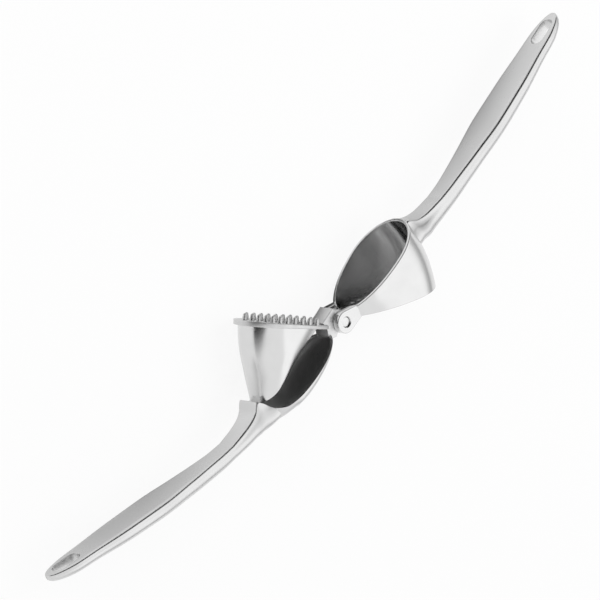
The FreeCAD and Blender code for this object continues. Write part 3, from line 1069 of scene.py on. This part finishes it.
# ---- plunger half --------------------------------------------------------------------------
def curve_through(points: Sequence[Vector], first: Vector, last: Vector,
                  parts: int = 8) -> list[Vector]:
    """Smooth run of points through the given ones.

    Args:
        points: Points to pass through.
        first: Direction at the first point.
        last: Direction at the last point.
        parts: Steps between two of the given points.

    Returns:
        The run, both ends included.
    """
    inner = [(after - before) / 2 for before, after in zip(points, points[2:])]
    slopes = [first.normalized() * (points[1] - points[0]).length] + inner
    slopes.append(last.normalized() * (points[-1] - points[-2]).length)
    run = []
    for index in range(len(points) - 1):
        for part in range(parts):
            t = part / parts
            run.append(points[index] * ((1 + 2 * t) * (1 - t) ** 2)
                       + slopes[index] * (t * (1 - t) ** 2)
                       + points[index + 1] * (t * t * (3 - 2 * t))
                       + slopes[index + 1] * (t * t * (t - 1)))
    return run + [points[-1]]


def prism(name: str, half: Half, corners: Sequence[Vector], reach: float) -> bpy.types.Object:
    """Closed tool from an outline in the plane of the handles, both ways along the hinge."""
    rings = [[corner + Vector((0, 0, z)) for corner in corners] for z in (-reach, reach)]
    return to_object(name, half, *skin(rings))


@dataclass
class HingeLug:
    """Block that turns on the pin between the ears and carries the plate, wedge and bowl."""

    leaf: PressLeaf = LEAF
    half_width: float = 4.0
    bore: float = 2.36
    softness: float = 0.35
    corners: tuple[tuple[float, float], ...] = (
        (7.9, -67.0), (10.75, -17.4), (8.6, 4.0), (9.4, 21.0), (9.4, 34.0), (7.0, 50.0))

    def outline(self, angle: float) -> float:
        """Distance from the hinge axis to the block's outline.

        Args:
            angle: Angle in degrees.

        Returns:
            The distance in millimetres.
        """
        turned = (angle + 180) % 360 - 180
        for (radius, start), (after, end) in zip(self.corners, self.corners[1:]):
            if start <= turned <= end:
                chord = (radius * math.sin(math.radians(turned - start))
                         + after * math.sin(math.radians(end - turned)))
                return radius * after * math.sin(math.radians(end - start)) / chord
        return self.leaf.boss_radius

    def dress(self, shop: SteelShop) -> None:
        """Builds the block and finishes it.

        Args:
            shop: Finishes of the press.
        """
        angles = [angle for _, angle in self.corners]
        profile = PiercedProfile(self.outline, self.bore, self.softness,
                                 corners=(*angles, angles[0] - 0.05, angles[-1] + 0.05))
        lug = profile.build("hinge_lug_block", Half.PLUNGER, -self.half_width, self.half_width)
        finish_piece(lug, Half.PLUNGER, shop.get(CAST_STEEL),
                     ["hinge_lug"])


@dataclass
class PressPlate:
    """Flat leaf that slides down the cup, with a low lip that fades out along its sides."""

    leaf: PressLeaf = LEAF
    clearance: float = 0.3
    low: float = 2.0
    high: float = 3.5
    edge: float = 0.25
    lip_height: float = 0.9
    lip_width: float = 1.5
    lip_taper: float = 2.2
    lip_from: float = 34.0
    around: int = 160

    def ring(self, inset: float, height: Callable[[float], float]) -> Ring:
        """Ring of the plate, moved inwards, at a height that may vary along it.

        Args:
            inset: Distance moved inwards.
            height: Height over the sieve's outer face, by distance from the hinge.

        Returns:
            The closed ring.
        """
        outline = self.leaf.inside.grown(-self.clearance - inset)
        ring = []
        for step in range(self.around):
            radius, z = outline.at(2 * math.pi * step / self.around)
            rise = height(radius)
            along = math.sqrt(max(0.0, radius * radius - rise * rise))
            ring.append(self.leaf.sieve_point(along, rise, z))
        return ring

    def lip_top(self, radius: float) -> float:
        """Height of the lip's top at a distance from the hinge."""
        fall = (self.leaf.inside.outer - radius) * math.tan(math.radians(self.lip_taper))
        return max(self.high, self.high + self.lip_height - fall)

    def lip_foot(self) -> Ring:
        """Foot of the lip on the plate: the lip narrows from the outer end to the sides.

        Returns:
            The closed ring.
        """
        outline = self.leaf.inside.grown(-self.clearance)
        ring = []
        for step in range(self.around):
            turn = 2 * math.pi * step / self.around
            share = smooth_step((outline.at(turn)[0] - self.lip_from)
                                / (outline.outer - self.lip_from))
            inset = self.edge + 0.05 + (self.lip_width - self.edge) * share
            radius, z = outline.grown(-inset).at(turn)
            along = math.sqrt(max(0.0, radius * radius - self.high * self.high))
            ring.append(self.leaf.sieve_point(along, self.high, z))
        return ring

    def plate(self) -> bpy.types.Object:
        """The plate with its rounded edges and its lip.

        Returns:
            The plate, not yet finished.
        """
        edge = self.edge
        turns = [math.radians(turn) for turn in (0, 30, 60, 90)]
        rings = []
        for turn in turns:
            height = self.low + edge * (1 - math.sin(turn))
            rings.append(self.ring(edge * (1 - math.sin(turn)),
                                   lambda _, height=self.low + edge * (1 - math.cos(turn)):
                                   height))
        for turn in turns:
            rings.append(self.ring(
                edge * (1 - math.cos(turn)),
                lambda radius, drop=edge * (1 - math.sin(turn)): self.lip_top(radius) - drop))
        rings.append(self.lip_foot())
        return to_object("press_plate_leaf", Half.PLUNGER, *skin(rings), sharp=40.0)

    def dress(self, shop: SteelShop) -> None:
        """Builds the plate and finishes it."""
        finish_piece(self.plate(), Half.PLUNGER, shop.get(TUMBLED_STEEL),
                     ["press_plate"])


@dataclass
class CleaningPins:
    """Tapered studs with round tips, one for each hole of the sieve."""

    leaf: PressLeaf = LEAF
    foot: float = 1.995
    base_radius: float = 1.18
    tip_radius: float = 0.8
    height: float = 2.97
    sides: int = 24

    def stud(self, studs: RepeatTree) -> bpy.types.NodeSocket:
        """Adds the nodes of one stud to the tree and gives its geometry.

        Args:
            studs: Tree that the stud is added to.

        Returns:
            Geometry socket of the stud, with its foot at the origin.
        """
        tree = studs.tree
        base = studs.value(studs.size("Base Radius", self.base_radius * MM))
        tip = studs.value(studs.size("Tip Radius", self.tip_radius * MM))
        straight = studs.value(studs.size("Straight", (self.height - self.tip_radius) * MM))
        cone = add_node(tree, "GeometryNodeMeshCone", {"fill_type": "NONE"}, {
            "Vertices": self.sides, "Side Segments": 3, "Radius Top": tip, "Radius Bottom": base,
            "Depth": straight})
        foot = add_node(tree, "GeometryNodeMeshCircle", {"fill_type": "NGON"}, {
            "Vertices": self.sides, "Radius": base})
        ball = add_node(tree, "GeometryNodeMeshUVSphere", {}, {
            "Segments": self.sides, "Rings": 12, "Radius": tip})
        place = add_node(tree, "GeometryNodeInputPosition").outputs[0]
        level = add_node(tree, "ShaderNodeSeparateXYZ", {}, {0: place}).outputs["Z"]
        under = add_node(tree, "FunctionNodeCompare",
                         {"data_type": "FLOAT", "operation": "LESS_THAN"},
                         {0: level, 1: -0.01 * MM})
        cap = add_node(tree, "GeometryNodeDeleteGeometry", {"domain": "POINT"}, {
            "Geometry": ball.outputs["Mesh"], "Selection": under.outputs[0]})
        lift = add_node(tree, "ShaderNodeCombineXYZ", {}, {"Z": straight})
        lifted = add_node(tree, "GeometryNodeTransform", {}, {
            "Geometry": cap.outputs[0], "Translation": lift.outputs[0]})
        joined = add_node(tree, "GeometryNodeJoinGeometry")
        for part in (cone.outputs["Mesh"], foot.outputs["Mesh"], lifted.outputs[0]):
            tree.links.new(part, joined.inputs[0])
        merged = add_node(tree, "GeometryNodeMergeByDistance", {}, {
            "Geometry": joined.outputs[0], "Distance": 0.01 * MM})
        return merged.outputs[0]

    def dress(self, shop: SteelShop) -> None:
        """Places the studs under the press plate and finishes them.

        Args:
            shop: Finishes of the press.
        """
        steel = shop.get(TUMBLED_STEEL)
        pins = to_object("cleaning_pin_studs", Half.PLUNGER, [], [])
        mark_points(pins, Half.PLUNGER, [self.leaf.sieve_point(along, self.foot, z)
                                         for along, z in self.leaf.hole_places()])
        studs = RepeatTree("cleaning_pins")
        studs.close(studs.repeated(self.stud(studs))[0], steel)
        down = HINGE.place(Half.PLUNGER, self.leaf.sieve_point(0, -1, 0)) - HINGE.axis
        studs.run(pins, down.normalized(), 50.0)
        clean(pins.data)
        finish_piece(pins, Half.PLUNGER, steel, ["cleaning_pins"])


@dataclass
class Wedge:
    """Thin wall behind the press plate; its free edge slants up to meet the bowl."""

    leaf: PressLeaf = LEAF
    side_inset: float = 1.2
    end_inset: float = 2.8
    wall: float = 1.2
    flare: float = 3.2
    flare_from: float = -1.0
    flare_to: float = 15.0
    seat: float = 0.3
    edge: tuple[tuple[float, float], ...] = (
        (12.5, -6.0), (20.5, -3.8), (28.2, -0.6), (36.0, 3.9), (43.5, 10.3), (47.8, 13.7),
        (51.0, 15.4), (56.5, 17.6))
    edge_round: float = 0.5
    bend: float = 2.3
    bend_reach: float = 10.0
    around: int = 150
    up: int = 30
    run: list[Station] = field(default_factory=list)

    def __post_init__(self) -> None:
        """Fills in the free edge's curve."""
        self.run = blend(self.edge, 0.5)

    def edge_height(self, x: float) -> float:
        """Height of the free edge's curve over a place along the shut press.

        Args:
            x: Distance from the hinge along both handles.

        Returns:
            The height in millimetres.
        """
        for (x0, y0), (x1, y1) in zip(self.run, self.run[1:]):
            if x <= x1:
                return y0 + (y1 - y0) * (x - x0) / (x1 - x0)
        return self.run[-1][1]

    def at(self, turn: float, offset: float, angle: float) -> Vector:
        """Point of the wall by its turn round the leaf, its offset inwards and its angle.

        Args:
            turn: Turn round the leaf in radians.
            offset: Distance inwards from the wall's outside.
            angle: Angle about the hinge in degrees.

        Returns:
            The point in the shut press.
        """
        inside = self.leaf.inside
        lean = max(0.0, (angle - self.flare_from) / (self.flare_to - self.flare_from))
        outline = Leaf(inside.narrow + self.side_inset, inside.wide,
                       inside.outer - self.end_inset + self.flare * lean ** 2,
                       inside.half - self.side_inset).grown(-offset)
        radius, z = outline.at(turn)
        return polar(radius, angle, z)

    def foot_angle(self, turn: float, offset: float) -> float:
        """Angle of the wall's foot, a little below the top of the press plate."""
        radius = self.at(turn, offset, self.leaf.sieve_angle).xy.length
        return self.leaf.sieve_angle + math.degrees(math.asin((3.5 - self.seat) / radius))

    def top_angle(self, turn: float, offset: float) -> float:
        """Angle at which the wall meets the free edge's curve.

        Args:
            turn: Turn round the leaf in radians.
            offset: Distance inwards from the wall's outside.

        Returns:
            The angle in degrees.
        """
        low, high = self.leaf.sieve_angle, 24.0
        for _ in range(30):
            middle = (low + high) / 2
            point = self.at(turn, offset, middle)
            if point.y < self.edge_height(point.x):
                low = middle
            else:
                high = middle
        return low

    def ring(self, turn: float) -> Ring:
        """Section through the wall, up the outside, over the round edge and down the inside.

        Args:
            turn: Turn round the leaf in radians.

        Returns:
            The closed section.
        """
        soft, wall = self.edge_round, self.wall
        bend = self.bend * math.sin(turn) ** 2

        def height(offset: float, share: float, drop: float) -> Vector:
            """Point by its offset, its share of the height and its drop from the top.

            Args:
                offset: Distance inwards from the outside.
                share: Share of the way up to the free edge.
                drop: Distance left below the free edge.

            Returns:
                The point in the shut press.
            """
            foot = self.foot_angle(turn, offset)
            top = max(self.top_angle(turn, offset + bend), foot)
            radius = self.at(turn, offset, top).xy.length
            angle = max(top - math.degrees(drop / radius), foot)
            angle = foot + share * (angle - foot)
            near = max(0.0, 1.0 - math.radians(top - angle) * radius / self.bend_reach)
            return self.at(turn, offset + bend * near * near, angle)

        ring = [height(0.0, share, soft) for share in spread(0.0, 1.0, self.up)]
        for angle in (18, 36, 54, 72, 90):
            lean = math.radians(angle)
            ring.append(height(soft * (1 - math.cos(lean)), 1.0, soft * (1 - math.sin(lean))))
        for angle in (90, 72, 54, 36, 18):
            lean = math.radians(angle)
            ring.append(height(wall - soft * (1 - math.cos(lean)), 1.0,
                               soft * (1 - math.sin(lean))))
        return ring + [height(wall, share, soft) for share in spread(1.0, 0.0, self.up)]

    def dress(self, shop: SteelShop) -> None:
        """Builds the wall and finishes it.

        Args:
            shop: Finishes of the press.
        """
        end = next(turn for turn in spread(math.pi, 0.0, 400)
                   if self.top_angle(turn, 0.0) > self.foot_angle(turn, 0.0) + 0.5)
        rings = [self.ring(turn) for turn in spread(-end, end, self.around)]
        wedge = to_object("plunger_wedge_wall", Half.PLUNGER, *skin(rings), sharp=40.0)
        finish_piece(wedge, Half.PLUNGER, shop.get(POLISHED_STEEL),
                     ["plunger_wedge"])


@dataclass
class PlungerBowl:
    """Spoon-shaped bowl and the handle that grows out of its back, as one piece."""

    line: HandleLine = HandleLine(Half.PLUNGER, 6.0, 19.9, -1.0, 184.0, 7.3, 7.9)
    narrow: float = 6.9
    wide: float = 37.8
    outer: float = 55.4
    half: float = 15.7
    bluntness: float = 2.3
    depths: tuple[float, float, float] = (5.6, 7.3, 6.4)
    wall: float = 1.4
    rim_angle: float = 22.4
    seat: tuple[tuple[float, float], ...] = (
        (45.0, 18.9), (48.8, 19.1), (51.1, 17.9), (52.7, 16.3), (54.3, 15.0), (56.7, 13.7))

    def half_width(self, radius: float, inset: float) -> float:
        """Half-width of the bowl's outline at a distance along its rim.

        Args:
            radius: Distance from the hinge axis.
            inset: Distance moved inwards.

        Returns:
            Half the width there.
        """
        half = self.half - inset
        if radius < self.wide:
            share = (self.wide - radius) / (self.wide - self.narrow - inset)
            return half * math.sqrt(max(0.0, 1.0 - share * share))
        share = (radius - self.wide) / (self.outer - self.wide - inset)
        return half * max(0.0, 1.0 - share ** self.bluntness) ** (1.0 / self.bluntness)

    def section(self, radius: float, inset: float) -> Ring:
        """Ring across the spoon at a distance along its rim.

        Args:
            radius: Distance from the hinge axis.
            inset: Distance moved inwards.

        Returns:
            The closed ring.
        """
        rim = polar(radius, self.rim_angle)
        u, rim_w = self.line.place(rim.x, rim.y)
        half = self.half_width(radius, inset)
        share = half / (self.half - inset)
        narrow, wide, outer = self.depths
        if radius < self.wide:
            depth = narrow + (radius - self.narrow) / (self.wide - self.narrow) * (wide - narrow)
        else:
            depth = wide + (radius - self.wide) / (self.outer - self.wide) * (outer - wide)
            share = share if inset else 1.0
        top = 1.5 + max(0.0, radius - 44.0) * 0.6
        back = share * (depth - inset)
        return self.line.section(u, rim_w + top, half, half, top + back, top / (top + back))

    def spoon(self, name: str, inset: float) -> bpy.types.Object:
        """Closed spoon shape: the bowl's outside if inset is 0, else its hollow.

        Args:
            name: Name of the piece.
            inset: Distance moved inwards.

        Returns:
            The closed shape.
        """
        first, last = self.narrow + inset, self.outer - inset
        radii = [self.wide - (self.wide - first) * math.cos(math.radians(turn))
                 for turn in spread(5.0, 90.0, 40)]
        radii += [self.wide + (last - self.wide) * math.sin(math.radians(turn)) ** 0.9
                  for turn in spread(4.0, 81.0, 24)]
        rings = [self.section(radius, inset) for radius in radii]
        return to_object(name, Half.PLUNGER, *skin(rings), sharp=50.0)

    def rim_tool(self) -> bpy.types.Object:
        """Everything on the wedge's side of the rim and of the seat for the wedge.

        Returns:
            The closed tool.
        """
        points = [Vector((x, y, 0.0)) for x, y in self.seat]
        run = curve_through(points, polar(1.0, self.rim_angle), Vector((1.0, -0.3, 0.0)))
        far = 300.0
        start = polar(-40.0, self.rim_angle)
        corners = [Vector((run[-1].x, -far, 0.0)), Vector((start.x, -far, 0.0)), start]
        return prism("bowl_rim_tool", Half.PLUNGER, corners + run, 60.0)

    def tang(self) -> list[Station]:
        """Sections of the handle's root, which rises out of the bowl's back.

        Returns:
            Stations as section takes them.
        """
        seat_u, seat_w = self.line.place(*self.seat[-1])
        neck = self.line.neck_half
        return [
            (seat_u - 15.0, seat_w, neck + 1.1, 9.0, seat_w - 0.8, 0.62),
            (seat_u - 8.4, seat_w, neck + 1.1, 9.4, seat_w + 1.1, 0.62),
            (seat_u, seat_w, neck + 1.0, 7.8, seat_w + 2.8, 0.60),
            (seat_u + 1.9, seat_w - 3.4, neck + 0.8, 7.2, seat_w - 0.1, 0.52),
            (seat_u + 4.6, 6.3, neck + 0.5, 6.4, 10.0, 0.46),
            (seat_u + 9.5, 4.0, neck + 0.2, 5.9, 8.8, 0.42),
            self.line.neck(),
        ]

    def dress(self, shop: SteelShop) -> None:
        """Builds bowl and handle, hollows the bowl and finishes the piece.

        Args:
            shop: Finishes of the press.
        """
        body = self.line.solid("plunger_bowl_and_handle", self.tang())
        work_with(body, self.spoon("bowl_outside", 0.0), Cut.JOIN, 40.0)
        work_with(body, self.rim_tool(), Cut.AWAY, 40.0)
        work_with(body, self.spoon("bowl_hollow", self.wall), Cut.AWAY, 40.0)
        work_with(body, self.line.slot_tool("plunger_slot"), Cut.AWAY, 40.0)
        finish_piece(body, Half.PLUNGER, shop.get(BUFFED_STEEL),
                     ["plunger_bowl", "plunger_handle"])


# ---- the two halves ------------------------------------------------------------------------
@dataclass
class HopperHalf:
    """Cup with ears and sieve, its handle and the pin."""

    cup: HopperCup = field(default_factory=HopperCup)
    sieve: Sieve = field(default_factory=Sieve)
    handle: HopperHandle = field(default_factory=HopperHandle)
    pin: HingePin = field(default_factory=HingePin)

    def dress(self, shop: SteelShop) -> None:
        """Builds and finishes all its pieces."""
        for part in (self.cup, self.sieve, self.handle, self.pin):
            part.dress(shop)


@dataclass
class PlungerHalf:
    """Bowl with handle, wedge, press plate, studs and the lug that turns on the pin."""

    lug: HingeLug = field(default_factory=HingeLug)
    plate: PressPlate = field(default_factory=PressPlate)
    pins: CleaningPins = field(default_factory=CleaningPins)
    wedge: Wedge = field(default_factory=Wedge)
    bowl: PlungerBowl = field(default_factory=PlungerBowl)

    def dress(self, shop: SteelShop) -> None:
        """Builds and finishes all its pieces."""
        for part in (self.lug, self.plate, self.pins, self.wedge, self.bowl):
            part.dress(shop)


# ---- studio --------------------------------------------------------------------------------
SQUARE = ((-1.0, -1.0, 0.0), (1.0, -1.0, 0.0), (1.0, 1.0, 0.0), (-1.0, 1.0, 0.0))


def stage_material(name: str) -> tuple[bpy.types.Material, bpy.types.NodeTree]:
    """Empty material for a piece of the stage.

    Args:
        name: Name of the material.

    Returns:
        The material and its node tree, without nodes.
    """
    material = bpy.data.materials.new(name)
    material.use_nodes = True
    material.node_tree.nodes.clear()
    return material, material.node_tree


def stage_piece(name: str, points: Sequence[Sequence[float]], faces: Sequence[Sequence[int]],
                material: bpy.types.Material) -> bpy.types.Object:
    """Piece of the stage from points in metres.

    Args:
        name: Name of the piece.
        points: Its points.
        faces: Indices of each face.
        material: Its material.

    Returns:
        The piece, not yet declared as stage.
    """
    mesh = bpy.data.meshes.new(name)
    mesh.from_pydata(points, [], faces)
    mesh.materials.append(material)
    piece = bpy.data.objects.new(name, mesh)
    bpy.context.scene.collection.objects.link(piece)
    return piece


def only_mirrored(piece: bpy.types.Object) -> None:
    """Hides a piece of the stage from all but reflections."""
    piece.visible_camera = False
    piece.visible_diffuse = False
    piece.visible_shadow = False


@dataclass
class ViewFrame:
    """Camera's own directions, turned about the vertical to where the press lies."""

    heading: float = -37.6
    towards: tuple[float, float, float] = (-0.664, 0.122, 0.738)
    right: tuple[float, float, float] = (0.743, 0.0, 0.669)

    def axes(self) -> tuple[Vector, Vector, Vector]:
        """Right, up and backwards of the camera.

        Returns:
            The three directions, each of length one.
        """
        turn = Matrix.Rotation(math.radians(self.heading), 3, "Z")
        back = (turn @ Vector(self.towards)).normalized()
        right = (turn @ Vector(self.right)).normalized()
        up = back.cross(right).normalized()
        return up.cross(back).normalized(), up, back


@dataclass(frozen=True)
class PaintedShadowCard:
    """Painted contact shadow: a dark oval just over the floor that only reflections see, standing
    in for the floor's shade round the press.

    Its centre is given from the hinge, and its sizes are half-lengths, in millimetres.  The
    core is the share of it that is darkest, and the depth how dark that is, from 0 to 1.
    """

    name: str
    centre: tuple[float, float]
    heading: float
    reach: float
    width: float
    core: float
    depth: float = 0.97

    def material(self) -> bpy.types.Material:
        """Painted shadow: black that fades out towards the card's edge.

        Returns:
            The material.
        """
        material, tree = stage_material(self.name)
        place = add_node(tree, "ShaderNodeTexCoord").outputs["Object"]
        away = add_node(tree, "ShaderNodeVectorMath", {"operation": "LENGTH"}, {0: place})
        # Painted shadow: darkest over the core, clear at the card's edge.
        dark = add_node(tree, "ShaderNodeMapRange", {"interpolation_type": "SMOOTHSTEP"}, {
            "Value": away.outputs["Value"], "From Min": self.core, "From Max": 1.0,
            "To Min": self.depth, "To Max": 0.0})
        clear = add_node(tree, "ShaderNodeBsdfTransparent").outputs[0]
        black = add_node(tree, "ShaderNodeEmission", {}, {
            "Color": (0.0, 0.0, 0.0, 1.0), "Strength": 0.0}).outputs[0]
        mixed = add_node(tree, "ShaderNodeMixShader", {}, {
            0: dark.outputs[0], 1: clear, 2: black})
        add_node(tree, "ShaderNodeOutputMaterial", {}, {"Surface": mixed.outputs[0]})
        return material

    def lay(self) -> None:
        """Lays the card just over the floor."""
        card = stage_piece(self.name, SQUARE, [(0, 1, 2, 3)], self.material())
        x, y = self.centre
        card.location = (HINGE.axis.x + x * MM, HINGE.axis.y + y * MM, 0.2 * MM)
        card.rotation_euler = (0.0, 0.0, math.radians(self.heading))
        card.scale = (self.reach * MM, self.width * MM, 1.0)
        only_mirrored(card)


@dataclass(frozen=True)
class Lamp:
    """Soft square lamp that faces the press, placed by the camera's own directions in metres."""

    name: str
    right: float
    up: float
    back: float
    size: float
    watts: float
    mirrored: bool = False

    def hang(self, view: ViewFrame) -> None:
        """Makes the lamp, which the steel reflects as a shape only where it is mirrored.

        Args:
            view: The camera's own directions.
        """
        light = bpy.data.lights.new(self.name, "AREA")
        light.shape = "SQUARE"
        light.size = self.size
        light.energy = self.watts
        lamp = bpy.data.objects.new(self.name, light)
        bpy.context.scene.collection.objects.link(lamp)
        right, up, back = view.axes()
        place = right * self.right + up * self.up + back * self.back
        lamp.location = HINGE.axis + place
        lamp.rotation_euler = (-place).to_track_quat("-Z", "Y").to_euler()
        lamp.visible_glossy = self.mirrored


# Painted shadow that the flats and hollows mirror: dark ovals standing in for the floor's shade
# under the head, the roots, grips and slots.
PAINTED_SHADOW_CARDS = (
    PaintedShadowCard("bowl_painted_shadow", (-10.0, 3.0), -3.0, 42.0, 25.0, 0.55),
    PaintedShadowCard("root_painted_shadow", (63.0, 19.0), 9.9, 17.0, 13.0, 0.45, 0.95),
    PaintedShadowCard("hopper_handle_painted_shadow", (126.0, 11.0), 9.9, 90.0, 22.0, 0.1, 0.5),
    PaintedShadowCard("plunger_handle_painted_shadow", (-122.0, 13.0), 166.0, 90.0, 26.0, 0.1, 0.4),
    PaintedShadowCard("plunger_back_painted_shadow", (-120.0, 1.0), 166.0, 82.0, 13.0, 0.3, 0.95),
    PaintedShadowCard("hopper_slot_painted_shadow", (166.0, 9.0), 9.9, 11.0, 8.0, 0.5),
    PaintedShadowCard("plunger_slot_painted_shadow", (-178.0, 8.0), 166.0, 11.0, 8.0, 0.5),
)
LAMPS = (
    Lamp("key_lamp", -0.5, 0.9, 1.4, 2.0, 14.0),
    Lamp("side_lamp", 1.3, 0.3, 0.6, 1.6, 9.0),
    Lamp("softbox", 1.5, -0.2, 0.15, 1.8, 2.5, mirrored=True),
)


@dataclass
class Studio:
    """White floor, soft white light and a few dark cards of painted shadow that the steel can
    mirror.
    """

    view: ViewFrame = field(default_factory=ViewFrame)
    distance: float = 1.892
    lens: float = 264.0
    shift_right: float = -15.05
    shift_up: float = 8.815
    floor_size: float = 6.0
    fill: float = 0.45
    floor_glow: float = 0.88
    surround_radius: float = 2.4
    far_tone: float = 0.42
    side_tone: float = 0.9
    near_tone: float = 0.01
    far_fade: tuple[float, float] = (6.0, 28.0)
    near_fade: tuple[float, float] = (60.0, 78.0)

    def target(self) -> Vector:
        """Point at the middle of the view."""
        right, up, _ = self.view.axes()
        return HINGE.axis + right * (self.shift_right * MM) + up * (self.shift_up * MM)

    def camera(self) -> None:
        """Long lens from above and in front."""
        right, up, back = self.view.axes()
        camera = bpy.data.objects.new("camera", bpy.data.cameras.new("camera"))
        bpy.context.scene.collection.objects.link(camera)
        pose = Matrix((right, up, back)).transposed().to_4x4()
        pose.translation = self.target() + back * self.distance
        camera.matrix_world = pose
        camera.data.lens = self.lens
        camera.data.sensor_width = 36.0
        camera.data.clip_end = 50.0
        bpy.context.scene.camera = camera

    def white_unless_lit(self, tree: bpy.types.NodeTree, other: bpy.types.NodeSocket,
                         white: bpy.types.NodeSocket) -> bpy.types.NodeSocket:
        """Mix of shaders that is plain white to the camera, to mirrors and through glass.

        Args:
            tree: Node tree to add to.
            other: Shader for every other ray.
            white: Shader for the rays that see the background.

        Returns:
            The mixed shader's socket.
        """
        path = add_node(tree, "ShaderNodeLightPath")
        seen = add_node(tree, "ShaderNodeMath", {"operation": "MAXIMUM"}, {
            0: path.outputs["Is Camera Ray"], 1: path.outputs["Is Glossy Ray"]})
        seen = add_node(tree, "ShaderNodeMath", {"operation": "MAXIMUM"}, {
            0: seen.outputs[0], 1: path.outputs["Is Transmission Ray"]})
        return add_node(tree, "ShaderNodeMixShader", {}, {
            0: seen.outputs[0], 1: other, 2: white}).outputs[0]

    def world(self) -> None:
        """White world for the camera and in reflections, softer as a light."""
        world = bpy.data.worlds.new("white_studio")
        bpy.context.scene.world = world
        world.use_nodes = True
        tree = world.node_tree
        tree.nodes.clear()
        white = add_node(tree, "ShaderNodeBackground", {}, {
            "Color": (1.0, 1.0, 1.0, 1.0), "Strength": 1.0}).outputs[0]
        soft = add_node(tree, "ShaderNodeBackground", {}, {
            "Color": (1.0, 1.0, 1.0, 1.0), "Strength": self.fill}).outputs[0]
        add_node(tree, "ShaderNodeOutputWorld", {}, {
            "Surface": self.white_unless_lit(tree, soft, white)})

    def floor(self) -> None:
        """White floor that keeps the press's soft shadow."""
        half = self.floor_size / 2
        corners = [(x * half, y * half, z) for x, y, z in SQUARE]
        material, tree = stage_material("white_floor")
        floor = stage_piece("floor", corners, [(0, 1, 2, 3)], material)
        paper = add_node(tree, "ShaderNodeBsdfDiffuse", {}, {
            "Color": (0.9, 0.9, 0.9, 1.0)}).outputs[0]
        glow = add_node(tree, "ShaderNodeEmission", {}, {
            "Color": (1.0, 1.0, 1.0, 1.0), "Strength": self.floor_glow}).outputs[0]
        faint = add_node(tree, "ShaderNodeBsdfDiffuse", {}, {
            "Color": (*(3 * [1.0 - self.floor_glow]), 1.0)}).outputs[0]
        seen = add_node(tree, "ShaderNodeAddShader", {}, {0: glow, 1: faint}).outputs[0]
        add_node(tree, "ShaderNodeOutputMaterial", {}, {
            "Surface": self.white_unless_lit(tree, paper, seen)})

    def surround(self) -> None:
        """Ring of dark cloth round the table that only reflections see.

        It is darkest on the side that the hollows face, lightest beyond the plunger's handle,
        and fades to white overhead.
        """
        sides, levels, radius = 48, 12, self.surround_radius
        points, faces = [], []
        for level in range(levels + 1):
            rise = math.radians(70.0 * level / levels)
            for side in range(sides):
                angle = 2 * math.pi * side / sides
                points.append((radius * math.cos(rise) * math.cos(angle),
                               radius * math.cos(rise) * math.sin(angle),
                               radius * math.sin(rise)))
        for level in range(levels):
            for side in range(sides):
                here, after = level * sides + side, level * sides + (side + 1) % sides
                faces.append((here, after, after + sides, here + sides))
        material, tree = stage_material("dark_surround")
        surround = stage_piece("dark_surround", points, faces, material)
        only_mirrored(surround)
        place = add_node(tree, "ShaderNodeTexCoord").outputs["Object"]
        parts = add_node(tree, "ShaderNodeSeparateXYZ", {}, {0: place})
        far_tone = add_node(tree, "ShaderNodeMapRange", {"interpolation_type": "SMOOTHSTEP"}, {
            "Value": parts.outputs["X"], "From Min": -0.3 * radius, "From Max": 0.1 * radius,
            "To Min": self.side_tone, "To Max": self.far_tone}).outputs[0]
        starts, ends = ([math.sin(math.radians(fade[end])) * radius
                         for fade in (self.far_fade, self.near_fade)] for end in (0, 1))
        tone, low, high = (add_node(
            tree, "ShaderNodeMapRange", {"interpolation_type": "SMOOTHSTEP"}, {
                "Value": parts.outputs["Y"], "From Min": 0.05 * radius, "From Max": 0.55 * radius,
                "To Min": far, "To Max": near}).outputs[0]
            for far, near in ((far_tone, self.near_tone), starts, ends))
        fade = add_node(tree, "ShaderNodeMapRange", {}, {
            "Value": parts.outputs["Z"], "From Min": low, "From Max": high})
        shade = add_node(tree, "ShaderNodeMix", {"data_type": "FLOAT"}, {
            0: fade.outputs[0], 2: tone, 3: 1.0})
        glow = add_node(tree, "ShaderNodeEmission", {}, {
            "Color": (1.0, 1.0, 1.0, 1.0), "Strength": shade.outputs[0]}).outputs[0]
        add_node(tree, "ShaderNodeOutputMaterial", {}, {"Surface": glow})

    def build(self) -> None:
        """Sets up camera, floor, lamps and cards."""
        bpy.context.scene.view_settings.view_transform = "Standard"
        self.camera()
        self.world()
        self.floor()
        self.surround()
        # Cards of painted shadow, seen only in reflections.
        for card in PAINTED_SHADOW_CARDS:
            card.lay()
        for lamp in LAMPS:
            lamp.hang(self.view)


def main() -> None:
    """Builds the dressed press and its studio."""
    logging.basicConfig(level=logging.INFO, format="%(name)s: %(message)s")
    shop = SteelShop()
    for half in (HopperHalf(), PlungerHalf()):
        half.dress(shop)
    Studio().build()


if __name__ == "__main__":
    main()
